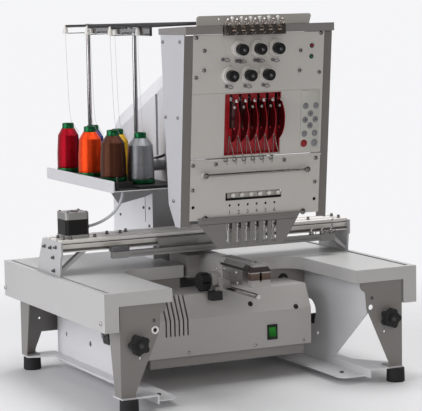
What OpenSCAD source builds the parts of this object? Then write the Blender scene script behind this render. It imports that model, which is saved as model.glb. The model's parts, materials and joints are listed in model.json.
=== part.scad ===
// Single-head embroidery machine with six needles, a free arm and an open-front table.
// Millimetres. X to the right, Y to the back, Z up; the rubber feet stand on Z = 0.

/* [Table and side beams] */
// width over the two side beams
overall_w = 700; // [660:5:760]
// length of table and side beams
beam_len = 540; // [520:5:580]
// width of one side beam
beam_w = 30; // [28:1:36]
// height of one side beam
beam_h = 76; // [66:1:90]
// height of the table surface over the ground
table_z = 238; // [228:1:260]
// depth of the folded table edge
table_t = 26.4; // [20:0.2:32]
// width of the open front of the table
cut_w = 413; // [390:1:440]
// depth of the open front of the table
cut_d = 267; // [250:1:280]
// thickness of the folded sheet
sheet = 2.5; // [2:0.1:3]

/* [Legs and base] */
// height of a rubber foot
foot_h = 28; // [22:1:34]
// diameter of a rubber foot
foot_d = 38; // [32:1:44]
// distance of the two side plates from the middle
plate_x = 238; // [225:1:250]
// half width of the base cover
cover_hw = 190; // [170:1:200]
// height of the fold in the base cover
cover_fold_z = 142; // [125:1:150]
// height of the base cover
cover_top_z = 190; // [170:1:196]

/* [Arm and column] */
// width of the free arm
arm_w = 42; // [40:1:48]
// height of the free arm over the table surface
arm_rise = 27; // [24:1:34]
// height of the free arm's section
arm_h = 43; // [41:1:50]
// half width of the column
column_hw = 69; // [60:1:69]

/* [Head] */
// width of the head box
head_w = 326; // [310:1:340]
// height of the front panels along their slope
head_h = 366; // [350:1:390]
// forward lean of the front panels in degrees
head_lean = 5.2; // [3:0.1:7]
// distance from needle to needle
pitch = 20; // [18:0.5:21]
// needle that stands over the arm
active = 4; // [1:1:6]

/* [Gantry] */
// height of the cross beam's section
xbeam_h = 25; // [22:1:30]
// depth of the cross beam's section
xbeam_d = 89; // [70:1:95]
// distance of the cross beam's front from the table's back half
gantry_y = -29; // [-60:1:-20]
// length of the hoop bar
hoop_len = 519; // [440:1:530]

/* [Spool stand] */
// diameter of a thread cone
cone_d = 50; // [40:1:51]
// height of a thread cone
cone_h = 105; // [90:1:120]
// height of the spool tray
tray_z = 406; // [400:1:420]

/* [Fits] */
// free gap between moving pieces
gap = 0.5; // [0.4:0.05:0.8]
// radial clearance of a running fit
fit = 0.05; // [0.03:0.01:0.1]

/* [Hidden] */
$fn = 48;
front_y = -281;
back_y = front_y + beam_len;
rim_z = table_z - table_t;
under_z = table_z - sheet;
in_x = overall_w/2 - beam_w;
slot_x = overall_w/2 - beam_w/2;
beam_z = table_z - beam_h;
slot_w = 8;
rail_z0 = foot_h - 15;
rail_z1 = foot_h + 3;
leg_x = in_x - sheet - 0.3;
leg_top_in = cut_w/2 + 12;
foot_x = leg_x - foot_d/2 + 3;
cut_y = front_y + cut_d;
cut_r = 46;

arm_z = table_z + arm_rise;
needle_y = -236;
arm_y0 = needle_y - 22;
column_y = 102;
column_y1 = 235;
hook_z = arm_z - arm_h/2 + 1;
side_z = arm_z - 13;
hook_d = 29;
hook_shaft = 8;
hole_d = 4;

bank_u = -3;
head_x = (3.5 - active)*pitch - bank_u;
head_z = 361;
head_y = -250;
head_hw = head_w/2;
panel_hw = head_hw - 19;
panel_t = 3;
cap_h = 16;
lip_v = 122;
cap_y = head_y - 38;
cap_z = head_z + head_h - 1;
bar_d = 8;
tip_z = arm_z + 39;
guide_low = 23;
guide_gap = 40;
bar_over = 58;
guide_za = head_z + guide_low;
guide_zb = guide_za + guide_gap;
bar_top = guide_zb + bar_over;
pivot_y = 60;
pivot_v = 190;
pivot_d = 8;
lever_y = -10;
lever_v = 235;
elbow_y = 30;
elbow_v = 237;
shield_y = 14;
fin_r = 48;
fin_v = 195;
fin_out = 20.5;
knob_d = 22;
stem_d = 6;
rod_d = 14;
rod_za = 452;
rod_zb = 640;
rod_ya = -206;
rod_yb = -208;

xb_z1 = table_z + 73;
xb_z0 = xb_z1 - xbeam_h;
xb_y1 = gantry_y + xbeam_d;
bracket_t = 4;
bracket_x = slot_x + bracket_t/2;
rib_w = 8;
rib_h = 12;
groove_h = 8;
groove_d = 5;
hoop_z = arm_z + 5;
hoop_h = 13;
hoop_x = 30;
motor_w = 52;
motor_x = -289;
motor_y = 14;

tray_x0 = -230;
tray_y0 = -62;
tray_y1 = 300;
cone_x = [-198, -198, -198, -140, -140, -140];
cone_y = [250, 130, 10, 250, 118, 2];
pad_h = [13, 5.5];
guide_z = 718;
post_x = -133;
post_y = [36, 281];
tube_d = 4;

switch_x = 97;
switch_z = 98;
switch_w = 17;
switch_h = 23;
cover_y = -121;
cover_slope = 23;
wall_y = cut_y + 6;
column_back = 308.6;
knob_x = 283;
knob_z = 135;
hand_y = -104;
hand_z = arm_z - 51;

cord_d = 6;
cord_from = [-196, -30, tray_z - 0.4];
cord_to = [motor_x + motor_w/2 + 0.8, motor_y, xb_z1 + 20];

// Sheet cut along Y and Z, standing from x to x + t.
module yz_sheet(x, t) {
  translate([x, 0, 0]) rotate([90, 0, 90]) linear_extrude(t) children();
}

// Sheet cut along X and Z, standing from y to y + t.
module xz_sheet(y, t) {
  translate([0, y + t, 0]) rotate([90, 0, 0]) linear_extrude(t) children();
}

// Pin or bore along X.
module pin_x(x0, x1, d) {
  translate([x0, 0, 0]) rotate([0, 90, 0]) cylinder(h = x1 - x0, d = d);
}

// Pin or bore along Y.
module pin_y(y0, y1, d) {
  translate([0, y1, 0]) rotate([90, 0, 0]) cylinder(h = y1 - y0, d = d);
}

// Flat outline with four round corners.
module round_rect(w, h, r) {
  square([w - 2*r, h], center = true);
  square([w, h - 2*r], center = true);
  for (sx = [-1, 1], sy = [-1, 1])
    translate([sx*(w/2 - r), sy*(h/2 - r)]) circle(r);
}

// Frame of the leaning head: the front panels lie in its XZ plane.
module on_head() {
  translate([head_x, head_y, head_z]) rotate([head_lean, 0, 0]) children();
}

// Side of the base: a rail folded to a Z and the tall plate that carries the table.
module base_side() {
  web = 3;
  difference() {
    yz_sheet(plate_x, web) polygon([[front_y, rail_z0], [front_y, rail_z1], [front_y + 152, rail_z1],
      [front_y + 13, 145], [front_y + 13, under_z], [back_y - 25, under_z], [back_y - 25, rail_z0]]);
    translate([plate_x - 1, -30, 117]) pin_x(0, web + 2, 53);
    translate([plate_x - 1, -64, 73]) pin_x(0, web + 2, 8);
    translate([plate_x - 1, 182, 78]) pin_x(0, web + 2, 10);
    translate([plate_x - 1, 52, 78]) pin_x(0, web + 2, 12);
  }
  translate([0, 0, rail_z0]) linear_extrude(web) difference() {
    translate([plate_x - 55, front_y + 21]) square([55, beam_len - 60]);
    translate([plate_x - 55, front_y + 21]) difference() {
      square(20);
      translate([20, 20]) circle(20);
    }
  }
  translate([0, 0, rail_z1 - web]) linear_extrude(web) {
    translate([plate_x + web, front_y]) square([24, beam_len - 25]);
    polygon([[plate_x + web, front_y], [leg_x, front_y], [leg_x, front_y + 44],
      [plate_x + 26, front_y + 120], [plate_x + web, front_y + 120]]);
    polygon([[plate_x + web, back_y - 4], [leg_x, back_y - 4], [leg_x, back_y - 42],
      [plate_x + 26, back_y - 58], [plate_x + web, back_y - 58]]);
  }
}

module base_side_right() {
  color("#8d8984") base_side();
}

module base_side_left() {
  color("#c9c8cb") mirror([1, 0, 0]) base_side();
}

// Four rubber buffers under the ends of the rails.
module rubber_feet() {
  color("#1a1a1a")
    for (sx = [-1, 1], y = [front_y + 4, back_y - 24])
      translate([sx*foot_x, y, 0]) rotate_extrude()
        polygon([[0, 0], [foot_d/2 - 1.5, 0], [foot_d/2, 1.5], [foot_d/2 - 0.6, rail_z1 - 3],
          [0, rail_z1 - 3]]);
}

// Outline of a front leg: wide under the table, notched, then tapering to the foot.
module front_outline() {
  xi = leg_top_in;
  polygon([[leg_x, rail_z1], [leg_x, under_z], [xi, under_z], [xi, 203], [xi + 2, 197],
    [xi + 12, 190], [xi + 15, 157], [leg_x - 31, rail_z1 + 8], [leg_x - 31, rail_z1]]);
}

// Outline of a rear leg: a deep apron that ends in a short tapered foot.
module rear_outline() {
  polygon([[leg_x, rail_z1], [leg_x, under_z], [cover_hw + 6, under_z], [cover_hw + 6, 76],
    [leg_x - 46, 76], [leg_x - 31, rail_z1 + 8], [leg_x - 31, rail_z1]]);
}

// Leg of folded sheet: a shaped plate, a tapered outer flange, a top fold and a foot fold.
module leg(rear) {
  xi = leg_top_in;
  yf = front_y + 4;
  difference() {
    xz_sheet(yf, sheet) {
      if (rear) rear_outline();
      else front_outline();
    }
    translate([leg_x - 74, 0, 159]) pin_y(yf - 1, yf + sheet + 1, 11);
    translate([leg_x - 72, 0, 178]) pin_y(yf - 1, yf + sheet + 1, 5);
    translate([leg_x - 42, 0, 106]) pin_y(yf - 1, yf + sheet + 1, 5);
    if (!rear) translate([knob_x, 0, knob_z]) pin_y(yf - 1, yf + sheet + 1, 8 + 2*fit);
  }
  yz_sheet(leg_x - sheet, sheet) polygon([[yf, rail_z1], [yf, under_z], [yf + 58, under_z],
    [yf + 54, 160], [yf + 30, rail_z1]]);
  translate([leg_x - 31, yf, rail_z1]) cube([31, 30, sheet]);
  translate([xi, yf, under_z - sheet]) cube([leg_x - xi, 8, sheet]);
}

module leg_front_right() {
  color("#6f6b67") leg(false);
}

module leg_front_left() {
  color("#6f6b67") mirror([1, 0, 0]) leg(false);
}

module leg_rear_right() {
  color("#6f6b67") translate([0, front_y + back_y, 0]) mirror([0, 1, 0]) leg(true);
}

module leg_rear_left() {
  color("#6f6b67") mirror([1, 0, 0]) leg_rear_right();
}

// Outline of the open front and of the slot round the arm and column, grown by g.
module table_opening(g) {
  r = cut_r + g;
  translate([0, (cut_y + g + front_y - 200)/2]) round_rect(cut_w + 2*g, cut_y + g - front_y + 200, r);
  translate([-54 - g, cut_y - 10]) square([54 + arm_w/2 + 8 + 2*g, column_y - cut_y + 12]);
  translate([-column_hw - 3 - g, column_y - 4 - g])
    square([2*column_hw + 6 + 2*g, column_y1 - column_y + 8 + 2*g]);
}

// Table: one folded sheet with a turned-down edge all round.
module table_top() {
  color("#c4c2bd") difference() {
    translate([0, 0, rim_z]) linear_extrude(table_t) difference() {
      translate([-in_x, front_y]) square([2*in_x, beam_len]);
      table_opening(0);
    }
    translate([0, 0, rim_z - 1]) linear_extrude(table_t - sheet + 1) difference() {
      translate([-in_x + sheet, front_y + sheet]) square([2*in_x - 2*sheet, beam_len - 2*sheet]);
      table_opening(sheet);
    }
  }
}

// Side beam: closed channel with a slot along its top and a guide rib on its floor.
module side_beam() {
  difference() {
    translate([in_x, front_y, beam_z]) cube([beam_w, beam_len, beam_h]);
    translate([in_x + sheet, front_y + sheet, beam_z + sheet])
      cube([beam_w - 2*sheet, beam_len - 2*sheet, beam_h - 2*sheet]);
    translate([slot_x - slot_w/2, front_y + 12, table_z - sheet - 1])
      cube([slot_w, beam_len - 24, sheet + 2]);
  }
  translate([slot_x - rib_w/2, front_y + sheet, beam_z + sheet]) cube([rib_w, beam_len - 2*sheet, rib_h]);
}

module side_beam_right() {
  color("#c4c2bd") side_beam();
}

module side_beam_left() {
  color("#d6d6da") mirror([1, 0, 0]) side_beam();
}

// Profile of the base cover in Y and Z: upright front, sloping top part, flat roof.
module cover_profile(t) {
  polygon([[cover_y + t, 66 - t], [cover_y + t, cover_fold_z - 0.2*t],
    [cover_y + cover_slope + 0.7*t, cover_top_z - t], [wall_y + t, cover_top_z - t],
    [wall_y + t, 66 - t]]);
}

// Front cover of the base with vent slots over the fold and the switch frame.
module base_cover() {
  color("#a9a5a0") difference() {
    union() {
      difference() {
        yz_sheet(-cover_hw, 2*cover_hw) cover_profile(0);
        yz_sheet(-cover_hw + sheet, 2*cover_hw - 2*sheet) cover_profile(sheet);
      }
      translate([switch_x, 0, switch_z])
        xz_sheet(cover_y - 2, 4) round_rect(switch_w + 6, switch_h + 8, 2);
    }
    for (i = [0:5])
      translate([-148 + 9.8*i, cover_y - 5, 110]) cube([3.2, 36, 90]);
    translate([switch_x, 0, switch_z]) xz_sheet(cover_y - 4, 12)
      square([switch_w, switch_h], center = true);
    translate([51, 0, 160]) pin_y(cover_y - 5, cover_y + 40, 9);
    translate([155, 0, 146]) pin_y(cover_y - 5, cover_y + 30, 9);
    for (sx = [-1, 1])
      translate([switch_x + sx*switch_w/2, cover_y + 1, switch_z]) pin_x(-1.5, 1.5, 3 + 2*fit);
  }
}

// Chassis: the pan under the cover and the cross wall between the side plates.
module base_chassis() {
  hw = cover_hw - 12;
  z0 = 44;
  color("#7d7975") {
    difference() {
      translate([-hw, cover_y + 12, z0]) cube([2*hw, column_y1 - cover_y, 30]);
      translate([-hw + sheet, cover_y + 12 + sheet, z0 + sheet])
        cube([2*hw - 2*sheet, column_y1 - cover_y - 2*sheet, 40]);
    }
    difference() {
      translate([-plate_x, wall_y, z0]) cube([2*plate_x, sheet, rim_z - z0]);
      translate([-60, wall_y - 1, 150]) cube([100, 10, 80]);
      for (sx = [-1, 1])
        translate([sx*185, 0, 187]) pin_y(cut_y, cut_y + 20, 22);
    }
    for (sx = [-1, 1])
      translate([sx*plate_x - (sx > 0 ? sheet : 0), wall_y, z0]) cube([sheet, 24, rim_z - z0]);
  }
}

// Section of the free arm: a box with all its corners cut off, grown by g.
module arm_section(g) {
  hw = arm_w/2 + g - 1;
  z1 = arm_z - 2 + g;
  z0 = arm_z - arm_h - 1 - g;
  polygon([[-12 - g/2, z1], [12 + g/2, z1], [hw, side_z], [hw, z0 + 2], [hw - 2, z0],
    [-hw + 2, z0], [-hw, z0 + 2], [-hw, side_z]]);
}

// Free arm with the drive box on its left, the knob shaft, the stop and the frame pin under it.
module lower_arm() {
  hw = arm_w/2;
  color("#98958f") difference() {
    union() {
      xz_sheet(needle_y + 20, column_y - needle_y - 20) arm_section(0);
      translate([-11, needle_y - 6, hook_z + hook_d/2 + gap])
        cube([22, 40, arm_z - 2 - hook_z - hook_d/2 - gap]);
      translate([-48, cut_y - 8, arm_z - 54]) cube([48 - hw + 3, 88, 47]);
      translate([-26, -126, arm_z - 71]) cube([24, 20, 30]);
      translate([-14, 0, arm_z - 62]) pin_y(-274, -115, 10);
      translate([0, hand_y, hand_z]) pin_x(-52, -10, 8);
      translate([-38, hand_y - 13, hand_z - 6]) cube([22, 26, 24]);
      translate([-48, -134, arm_z - 87]) cube([24, 18, 18]);
      translate([-34, -124, arm_z - 70]) cube([16, 14, 8]);
    }
    translate([0, 0, hook_z]) pin_y(needle_y - 10, needle_y + 130, hook_shaft + 2*fit);
    translate([0, needle_y, arm_z - 20]) cylinder(h = 30, d = 6);
    translate([-hw - 1, needle_y + 10, side_z - 3]) cube([4, 110, 5]);
  }
}

// Folded steel end of the arm: needle plate strip on top and the bent front before the hook.
module needle_plate() {
  color("#b9b6b0") difference() {
    union() {
      xz_sheet(arm_y0, 13) arm_section(2);
      translate([-12, arm_y0 + 2, arm_z - 2]) cube([24, 150, 2]);
    }
    xz_sheet(arm_y0 + 2, 40) difference() {
      arm_section(0.2);
      translate([-12, arm_z - 2]) square([24, 4]);
    }
    translate([0, needle_y, arm_z - 6]) cylinder(h = 12, d = hole_d);
    translate([0, 0, hook_z - 5]) xz_sheet(arm_y0 - 2, 8) round_rect(5, 19, 2.4);
  }
}

// Rotary hook on its shaft, with a point cut into the rim.
module rotary_hook() {
  y0 = arm_y0 + 3;
  color("#c8c8c8") translate([0, 0, hook_z]) {
    difference() {
      pin_y(y0, y0 + 16, hook_d);
      pin_y(y0 - 1, y0 + 11, hook_d - 5);
      translate([-4, y0 - 1, hook_d/2 - 6]) rotate([0, 20, 0]) cube([14, 8, 10]);
    }
    pin_y(y0 + 2, y0 + 16, 10);
    pin_y(y0 + 15, needle_y + 100, hook_shaft);
  }
}

// Black hand knob at the arm's left side that turns the hook drive.
module hand_knob() {
  color("#161616") translate([0, hand_y, hand_z]) difference() {
    union() {
      pin_x(-62, -42, 26);
      for (i = [0:5]) rotate([60*i, 0, 0]) translate([-62, -7, 0]) cube([18, 14, 19]);
    }
    pin_x(-54, -30, 8 + 2*fit);
  }
}

// Column and upper arm: one closed housing with a sloping, bevelled top and bearing blocks in front.
module arm_column() {
  hw = column_hw;
  yf = -160;
  slope = 23.9;
  color("#dcdce0") difference() {
    union() {
      yz_sheet(-hw, 2*hw) polygon([[column_y, 46.5], [column_y, 394], [yf, 410], [yf, 715], [-111, 715],
        [column_back, 529], [column_back, 266], [column_y1, 246], [column_y1, 46.5]]);
      for (x = [-46, 22], p = [[rod_ya, rod_za], [rod_yb, rod_zb]])
        translate([x, p[0] - 12, p[1] - 14]) cube([24, yf - p[0] + 14, 28]);
      translate([0, 42, 446]) pin_x(-hw - 28, -hw + 2, 25);
    }
    translate([0, rod_ya, rod_za]) pin_x(-hw - 1, hw + 1, rod_d + 2*fit);
    translate([0, rod_yb, rod_zb]) pin_x(-hw - 1, hw + 1, rod_d + 2*fit);
    for (sx = [-1, 1]) {
      translate([sx*hw - 5, 53, 462]) cube([10, 24, 130]);
      translate([sx*hw, 42, 607]) rotate([-slope, 0, 0]) rotate([0, -sx*23.6, 0])
        translate([sx > 0 ? 0 : -80, -400, 0]) cube([80, 900, 160]);
    }
  }
}

// Spool tray with a turned-up left edge, two pads, a flange on the column and six spool pins.
module spool_tray() {
  xr = -column_hw;
  xm = (cone_x[0] + cone_x[5])/2;
  color("#b9b9be") {
    translate([tray_x0, tray_y0, tray_z]) cube([xr - tray_x0, tray_y1 - tray_y0, sheet]);
    translate([tray_x0 + 4, tray_y0 + 40, tray_z])
      cube([xm - tray_x0 - 4, tray_y1 - tray_y0 - 42, pad_h[0] + sheet]);
    translate([xm - 1, tray_y0 + 4, tray_z]) cube([xr - 14 - xm, tray_y1 - tray_y0 - 6, pad_h[1] + sheet]);
    yz_sheet(tray_x0, sheet) translate([(tray_y0 + tray_y1)/2, tray_z + 10])
      round_rect(tray_y1 - tray_y0, 24, 5);
    translate([xr - sheet, column_y + 8, tray_z - 24]) cube([sheet, 180, 24]);
    for (i = [0:5])
      translate([cone_x[i], cone_y[i], tray_z]) cylinder(h = 70, d = 8);
    translate([tray_x0 + 12, tray_y0 + 8, tray_z]) cylinder(h = 30, d1 = 7, d2 = 4);
  }
}

// One thread cone: green foot, wound body, round shoulder and neck, turned about its bore.
module cone(i, d, foot) {
  h = cone_h;
  translate([cone_x[i], cone_y[i], tray_z + sheet + (i < 3 ? pad_h[0] : pad_h[1])]) rotate_extrude()
    polygon([[4.5, 0], [foot/2, 0], [foot/2, 3], [d/2 + 0.6, 9], [d/2 - 1, 10], [d/2, h*0.4],
      [d/2 - 0.3, h*0.74], [d/2 - 2, h*0.79], [d/2 - 6, h*0.845], [13.2, h*0.9], [12.6, h*0.9],
      [12.2, h - 1], [11.4, h], [4.5, h]]);
}

module thread_cone_1() {
  color("#b0121e") cone(0, cone_d - 1, cone_d + 2);
}

module thread_cone_2() {
  color("#e0481a") cone(1, cone_d + 1, cone_d + 4);
}

module thread_cone_3() {
  color("#4f2d20") cone(2, cone_d + 3, cone_d + 4);
}

module thread_cone_4() {
  color("#1c2f6e") cone(3, cone_d, cone_d + 3);
}

module thread_cone_5() {
  color("#d8a411") cone(4, cone_d, cone_d + 3);
}

module thread_cone_6() {
  color("#85878c") cone(5, cone_d + 6, cone_d + 8);
}

// Thread stand: two posts, the flat guide bar, a wire arm and eyelet over each cone, six tubes.
module thread_stand() {
  yt = -262;
  color("#8f8f92") {
    for (y = post_y)
      translate([post_x, y, tray_z + sheet + pad_h[1]])
        cylinder(h = guide_z - tray_z - sheet - pad_h[1] + 5, d = 9);
    translate([post_x - 3, -46, guide_z]) cube([6, 332, 20]);
    for (i = [0:5]) {
      p = [cone_x[i], cone_y[i], guide_z + 17.5];
      q = [head_x + bank_u - pitch*4 + pitch*i*0.6, yt, guide_z + 30];
      v = q - p;
      s = cone_x[i] < post_x ? 1 : -1;
      translate(p) rotate([0, acos(v[2]/norm(v)), atan2(v[1], v[0])]) cylinder(h = norm(v), d = tube_d);
      translate([cone_x[i], cone_y[i], guide_z + 1]) rotate_extrude()
        polygon([[4.6, 0], [6.2, 0], [2.6, 18], [1.2, 18]]);
      for (z = [2, 15]) {
        xe = cone_x[i] + s*(z > 9 ? 2 : 5);
        translate([0, cone_y[i], guide_z + z]) pin_x(min(xe, post_x), max(xe, post_x), 2.6);
      }
    }
  }
}

// Star knob with six lobes on a threaded stem.
module star_knob() {
  y0 = front_y + 4;
  translate([knob_x, 0, knob_z]) {
    pin_y(y0 - 6, y0 + 14, 8);
    difference() {
      union() {
        pin_y(y0 - 22, y0 - 5, 32);
        for (i = [0:4]) rotate([0, 72*i, 0]) translate([14, 0, 0]) pin_y(y0 - 22, y0 - 5, 13);
        pin_y(y0 - 26, y0 - 3, 18);
      }
      pin_y(y0 - 30, y0 - 24, 10);
    }
    pin_y(y0 - 5, y0 - gap, 14);
  }
}

module star_knob_right() {
  color("#1d1d1d") star_knob();
}

module star_knob_left() {
  color("#1d1d1d") mirror([1, 0, 0]) star_knob();
}

// Rocker of the mains switch, held on two pivots in the switch frame.
module power_rocker() {
  w = switch_w/2 - gap;
  h = switch_h/2 - gap;
  color("#1f6b22") translate([switch_x, cover_y + 1, switch_z]) {
    yz_sheet(-w, 2*w) polygon([[-5.5, -h + 1], [-3.2, 0], [-2, h - 1], [5, h - 3], [8, 0], [5, -h + 3]]);
    pin_x(-w - 1.2, w + 1.2, 3);
  }
}

// Upright gantry bracket with its runner in the side beam and the flat brace.
module gantry_bracket() {
  y0 = gantry_y - 7;
  y1 = xb_y1 + 4;
  z1 = xb_z1 - 3;
  za = beam_z + sheet + rib_h + gap;
  xa = slot_x - bracket_t/2;
  yz_sheet(xa, bracket_t) polygon([[y0, z1], [y1, z1], [y1 + 34, table_z + 1.5], [y1 + 30, za + 4],
    [y0 + 13, za + 4], [y0 + 9, table_z + 1.5], [y0 + 5, z1 - 32], [y0, z1 - 30]]);
  translate([0, y0 + 12, 0]) xz_sheet(0, y1 - y0 + 14) difference() {
    translate([slot_x - beam_w/2 + sheet + gap + 1, beam_z + sheet + gap + 1])
      square([beam_w - 2*sheet - 2*gap - 2, rib_h + 10]);
    translate([slot_x - rib_w/2 - gap, beam_z]) square([rib_w + 2*gap, sheet + rib_h + gap]);
  }
  xz_sheet(gantry_y + 6, 14) polygon([[xa + 0.1, table_z + 4], [xa + 0.1, table_z + 12],
    [xa - 44, xb_z0], [xa - 58, xb_z0]]);
}

module gantry_bracket_right() {
  color("#8e8e93") gantry_bracket();
}

module gantry_bracket_left() {
  color("#b4b5bb") mirror([1, 0, 0]) gantry_bracket();
}

// Extruded cross beam with grooves along its faces.
module x_beam() {
  hw = slot_x - bracket_t/2;
  color("#a9a49b") yz_sheet(-hw, 2*hw) difference() {
    translate([gantry_y, xb_z0]) square([xbeam_d, xbeam_h]);
    translate([gantry_y - 1, xb_z0 + 6]) square([groove_d + 1, groove_h]);
    translate([gantry_y - 1, xb_z1 - 6]) square([2.5, 2]);
    for (y = [gantry_y + 20, gantry_y + 58])
      translate([y, xb_z1 - 5]) square([9, 6]);
    translate([gantry_y + 16, xb_z0 - 1]) square([xbeam_d - 24, 7]);
  }
}

// Stepper motor on the left end of the cross beam.
module x_motor() {
  z = xb_z1;
  w = motor_w;
  c = 6;
  color("#2a2a2a") translate([motor_x, motor_y, 0]) {
    translate([0, 0, z]) linear_extrude(7) round_rect(w, w, 4);
    translate([0, 0, z + 6]) linear_extrude(34) polygon([[-w/2 + c, -w/2], [w/2 - c, -w/2], [w/2, -w/2 + c],
      [w/2, w/2 - c], [w/2 - c, w/2], [-w/2 + c, w/2], [-w/2, w/2 - c], [-w/2, -w/2 + c]]);
    translate([0, 0, z + 39]) linear_extrude(14) round_rect(w, w, 7);
  }
}

// Carriage plate that runs in the front groove of the cross beam.
module x_carriage() {
  y0 = gantry_y - gap - 8;
  color("#8a8880") {
    difference() {
      translate([-121, y0, hoop_z + 2]) cube([242, 8, xb_z0 + 16 - hoop_z - 2]);
      for (x = [-78, 26])
        translate([x, y0 - 1, xb_z0 + 1]) cube([46, 4, 8]);
    }
    translate([-110, y0 + 4, xb_z0 + 6 + gap]) cube([220, 4 + gap + groove_d - 1, groove_h - 2*gap]);
  }
}

// Hoop bar across the front of the carriage, with end blocks and a row of hoop holes.
module hoop_bar() {
  y1 = gantry_y - gap - 8;
  x0 = hoop_x - hoop_len/2;
  color("#a7a49c") difference() {
    union() {
      translate([x0 + 30, y1 - 13, hoop_z]) cube([hoop_len - 60, 13, hoop_h]);
      for (x = [x0, x0 + hoop_len - 34])
        translate([x, y1 - 15, hoop_z - 1]) cube([34, 15, hoop_h + 1]);
    }
    translate([x0 + 40, y1 - 14, hoop_z + 5]) cube([hoop_len - 80, 3, 3.5]);
    for (x = [hoop_x - 180, hoop_x - 90, hoop_x + 90, hoop_x + 180])
      translate([x, y1 - 7, hoop_z - 2]) cylinder(h = hoop_h + 4, d = 5);
  }
}

// Route of the motor cable, from under the tray in an even curve to the motor.
function cord_at(t) = let (m = [-197, -30, tray_z - 46], n = [-230, 8, xb_z1 + 22])
  (1 - t)^3*cord_from + 3*(1 - t)^2*t*m + 3*(1 - t)*t^2*n + t^3*cord_to;

// Cable of the motor, a round tube of short straight steps.
module motor_cable() {
  steps = 28;
  ring = [for (k = [0:7]) [cos(45*k), sin(45*k)]*cord_d/2];
  pts = [for (s = [0:steps]) let (t = s/steps, p = cord_at(t),
    d = cord_at(min(1, t + 0.01)) - cord_at(max(0, t - 0.01)), w = d/norm(d),
    u = cross(w, [0.3, 1, 0])/norm(cross(w, [0.3, 1, 0])), v = cross(w, u))
    for (q = ring) p + q[0]*u + q[1]*v];
  faces = concat([[for (k = [0:7]) k]], [[for (k = [7:-1:0]) steps*8 + k]],
    [for (s = [0:steps - 1], k = [0:7]) let (a = s*8 + k, b = s*8 + (k + 1) % 8) [a, a + 8, b + 8, b]]);
  color("#9a9ca3") polyhedron(pts, faces);
}

// Outline of the head's side wall in Y and Z.
module side_outline() {
  s = tan(head_lean);
  yt = head_y + 4 - s*(head_h + 4);
  polygon([[head_y + 4, head_z - 12], [yt, cap_z - (yt - cap_y)/62],
    [-172, cap_z - (-172 - cap_y)/62], [-195, head_z + 30], [-224, head_z - 12]]);
}

// Head box: side walls with front strips, needle guides, slide rods and the lever shaft.
module head_frame() {
  hw = head_hw;
  color("#7a7671") {
    for (s = [-1, 1]) {
      yz_sheet(head_x + s*hw - (s > 0 ? sheet : 0), sheet) side_outline();
      on_head() translate([s*(hw - 10.5) - 10.5, panel_t, -10]) cube([21, sheet, head_h + 8]);
    }
    difference() {
      union()
        for (z = [guide_za, guide_zb])
          translate([head_x - hw + 1, needle_y - 11, z]) cube([2*hw - 2, 22, 12]);
      for (i = [0:5])
        translate([head_x + bank_u + (i - 2.5)*pitch, needle_y, guide_za - 2])
          cylinder(h = guide_zb - guide_za + 20, d = bar_d + 2*fit);
    }
    translate([head_x, rod_ya, rod_za]) pin_x(-hw + 1, hw - 1, rod_d);
    translate([head_x, rod_yb, rod_zb]) pin_x(-hw + 1, hw - 1, rod_d);
    on_head() translate([0, pivot_y, pivot_v]) pin_x(-hw + 1, hw - 1, pivot_d);
  }
}

// Upper front panel with the lever window, tension posts and the seam under them.
module front_panel() {
  color("#b3afa7") on_head() difference() {
    union() {
      xz_sheet(0, panel_t) translate([0, (lip_v + head_h)/2])
        square([2*panel_hw, head_h - lip_v - 1], center = true);
      for (i = [0:5])
        translate([bank_u - pitch*3 - 4 + pitch*i, 0, i % 2 == 0 ? 286 : 337]) {
          pin_y(-10, 1, 30);
          pin_y(-20, 1, stem_d);
        }
    }
    xz_sheet(-2, 8) translate([bank_u - 8, 187.5]) round_rect(125, 122, 2);
    translate([-panel_hw - 1, -1, 250]) cube([2*panel_hw + 2, 1.6, 0.8]);
  }
}

// Lower front panel with the needle slot, six sight holes, the thread bar and a lip on top.
module lower_panel() {
  color("#b3afa7") on_head() {
    difference() {
      xz_sheet(0, panel_t) translate([0, lip_v/2 - 0.5]) square([2*panel_hw, lip_v - 1], center = true);
      xz_sheet(-2, 8) translate([bank_u - 1.5, 44]) round_rect(125, 16, 2);
      for (i = [0:5])
        translate([bank_u + (i - 2.5)*pitch - 4, 0, 26]) pin_y(-2, 6, 5);
    }
    translate([-panel_hw, -3, lip_v - 5]) cube([2*panel_hw, 4, 4]);
    translate([bank_u - 65, 1, 35]) rotate([-24, 0, 0]) cube([127, 1.5, 21]);
    translate([bank_u, -9, 91]) pin_x(-114, 112, 5);
    for (x = [-114, 112])
      translate([bank_u + x, 0, 91]) pin_y(-13, 1, 9);
  }
}

// Side profile of the lid, grown inwards by t.
module lid_profile(t) {
  polygon([[cap_y + t, cap_z - (t > 0 ? 2 : 0)], [cap_y + t, cap_z + cap_h - t],
    [cap_y + 124 - t, cap_z + cap_h - 6 - t], [cap_y + 124 - t, cap_z - 2 - (t > 0 ? 2 : 0)]]);
}

// Lid of the head with turned-down edges, the upright rear thread guide and a front tab.
module head_cap() {
  hw = head_hw + 0.6;
  zt = cap_z + cap_h;
  color("#85817c") difference() {
    union() {
      difference() {
        yz_sheet(head_x - hw, 2*hw) lid_profile(0);
        yz_sheet(head_x - hw + sheet, 2*hw - 2*sheet) lid_profile(sheet);
      }
      translate([head_x, 0, zt - 3]) xz_sheet(cap_y + 18, sheet) {
        polygon([[-131, 0], [-131, 16], [-125, 22], [116, 22], [121, 17], [116, 0]]);
        translate([-125, 16]) circle(6);
        translate([116, 17]) circle(5);
      }
      translate([head_x - 117, 0, cap_z + 7.5]) xz_sheet(cap_y - 2, 3) round_rect(64, 14, 3);
    }
    for (i = [0:5])
      translate([head_x + bank_u - pitch*4 + pitch*i, 0, zt + 12]) pin_y(cap_y + 10, cap_y + 30, 4);
  }
}

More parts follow.
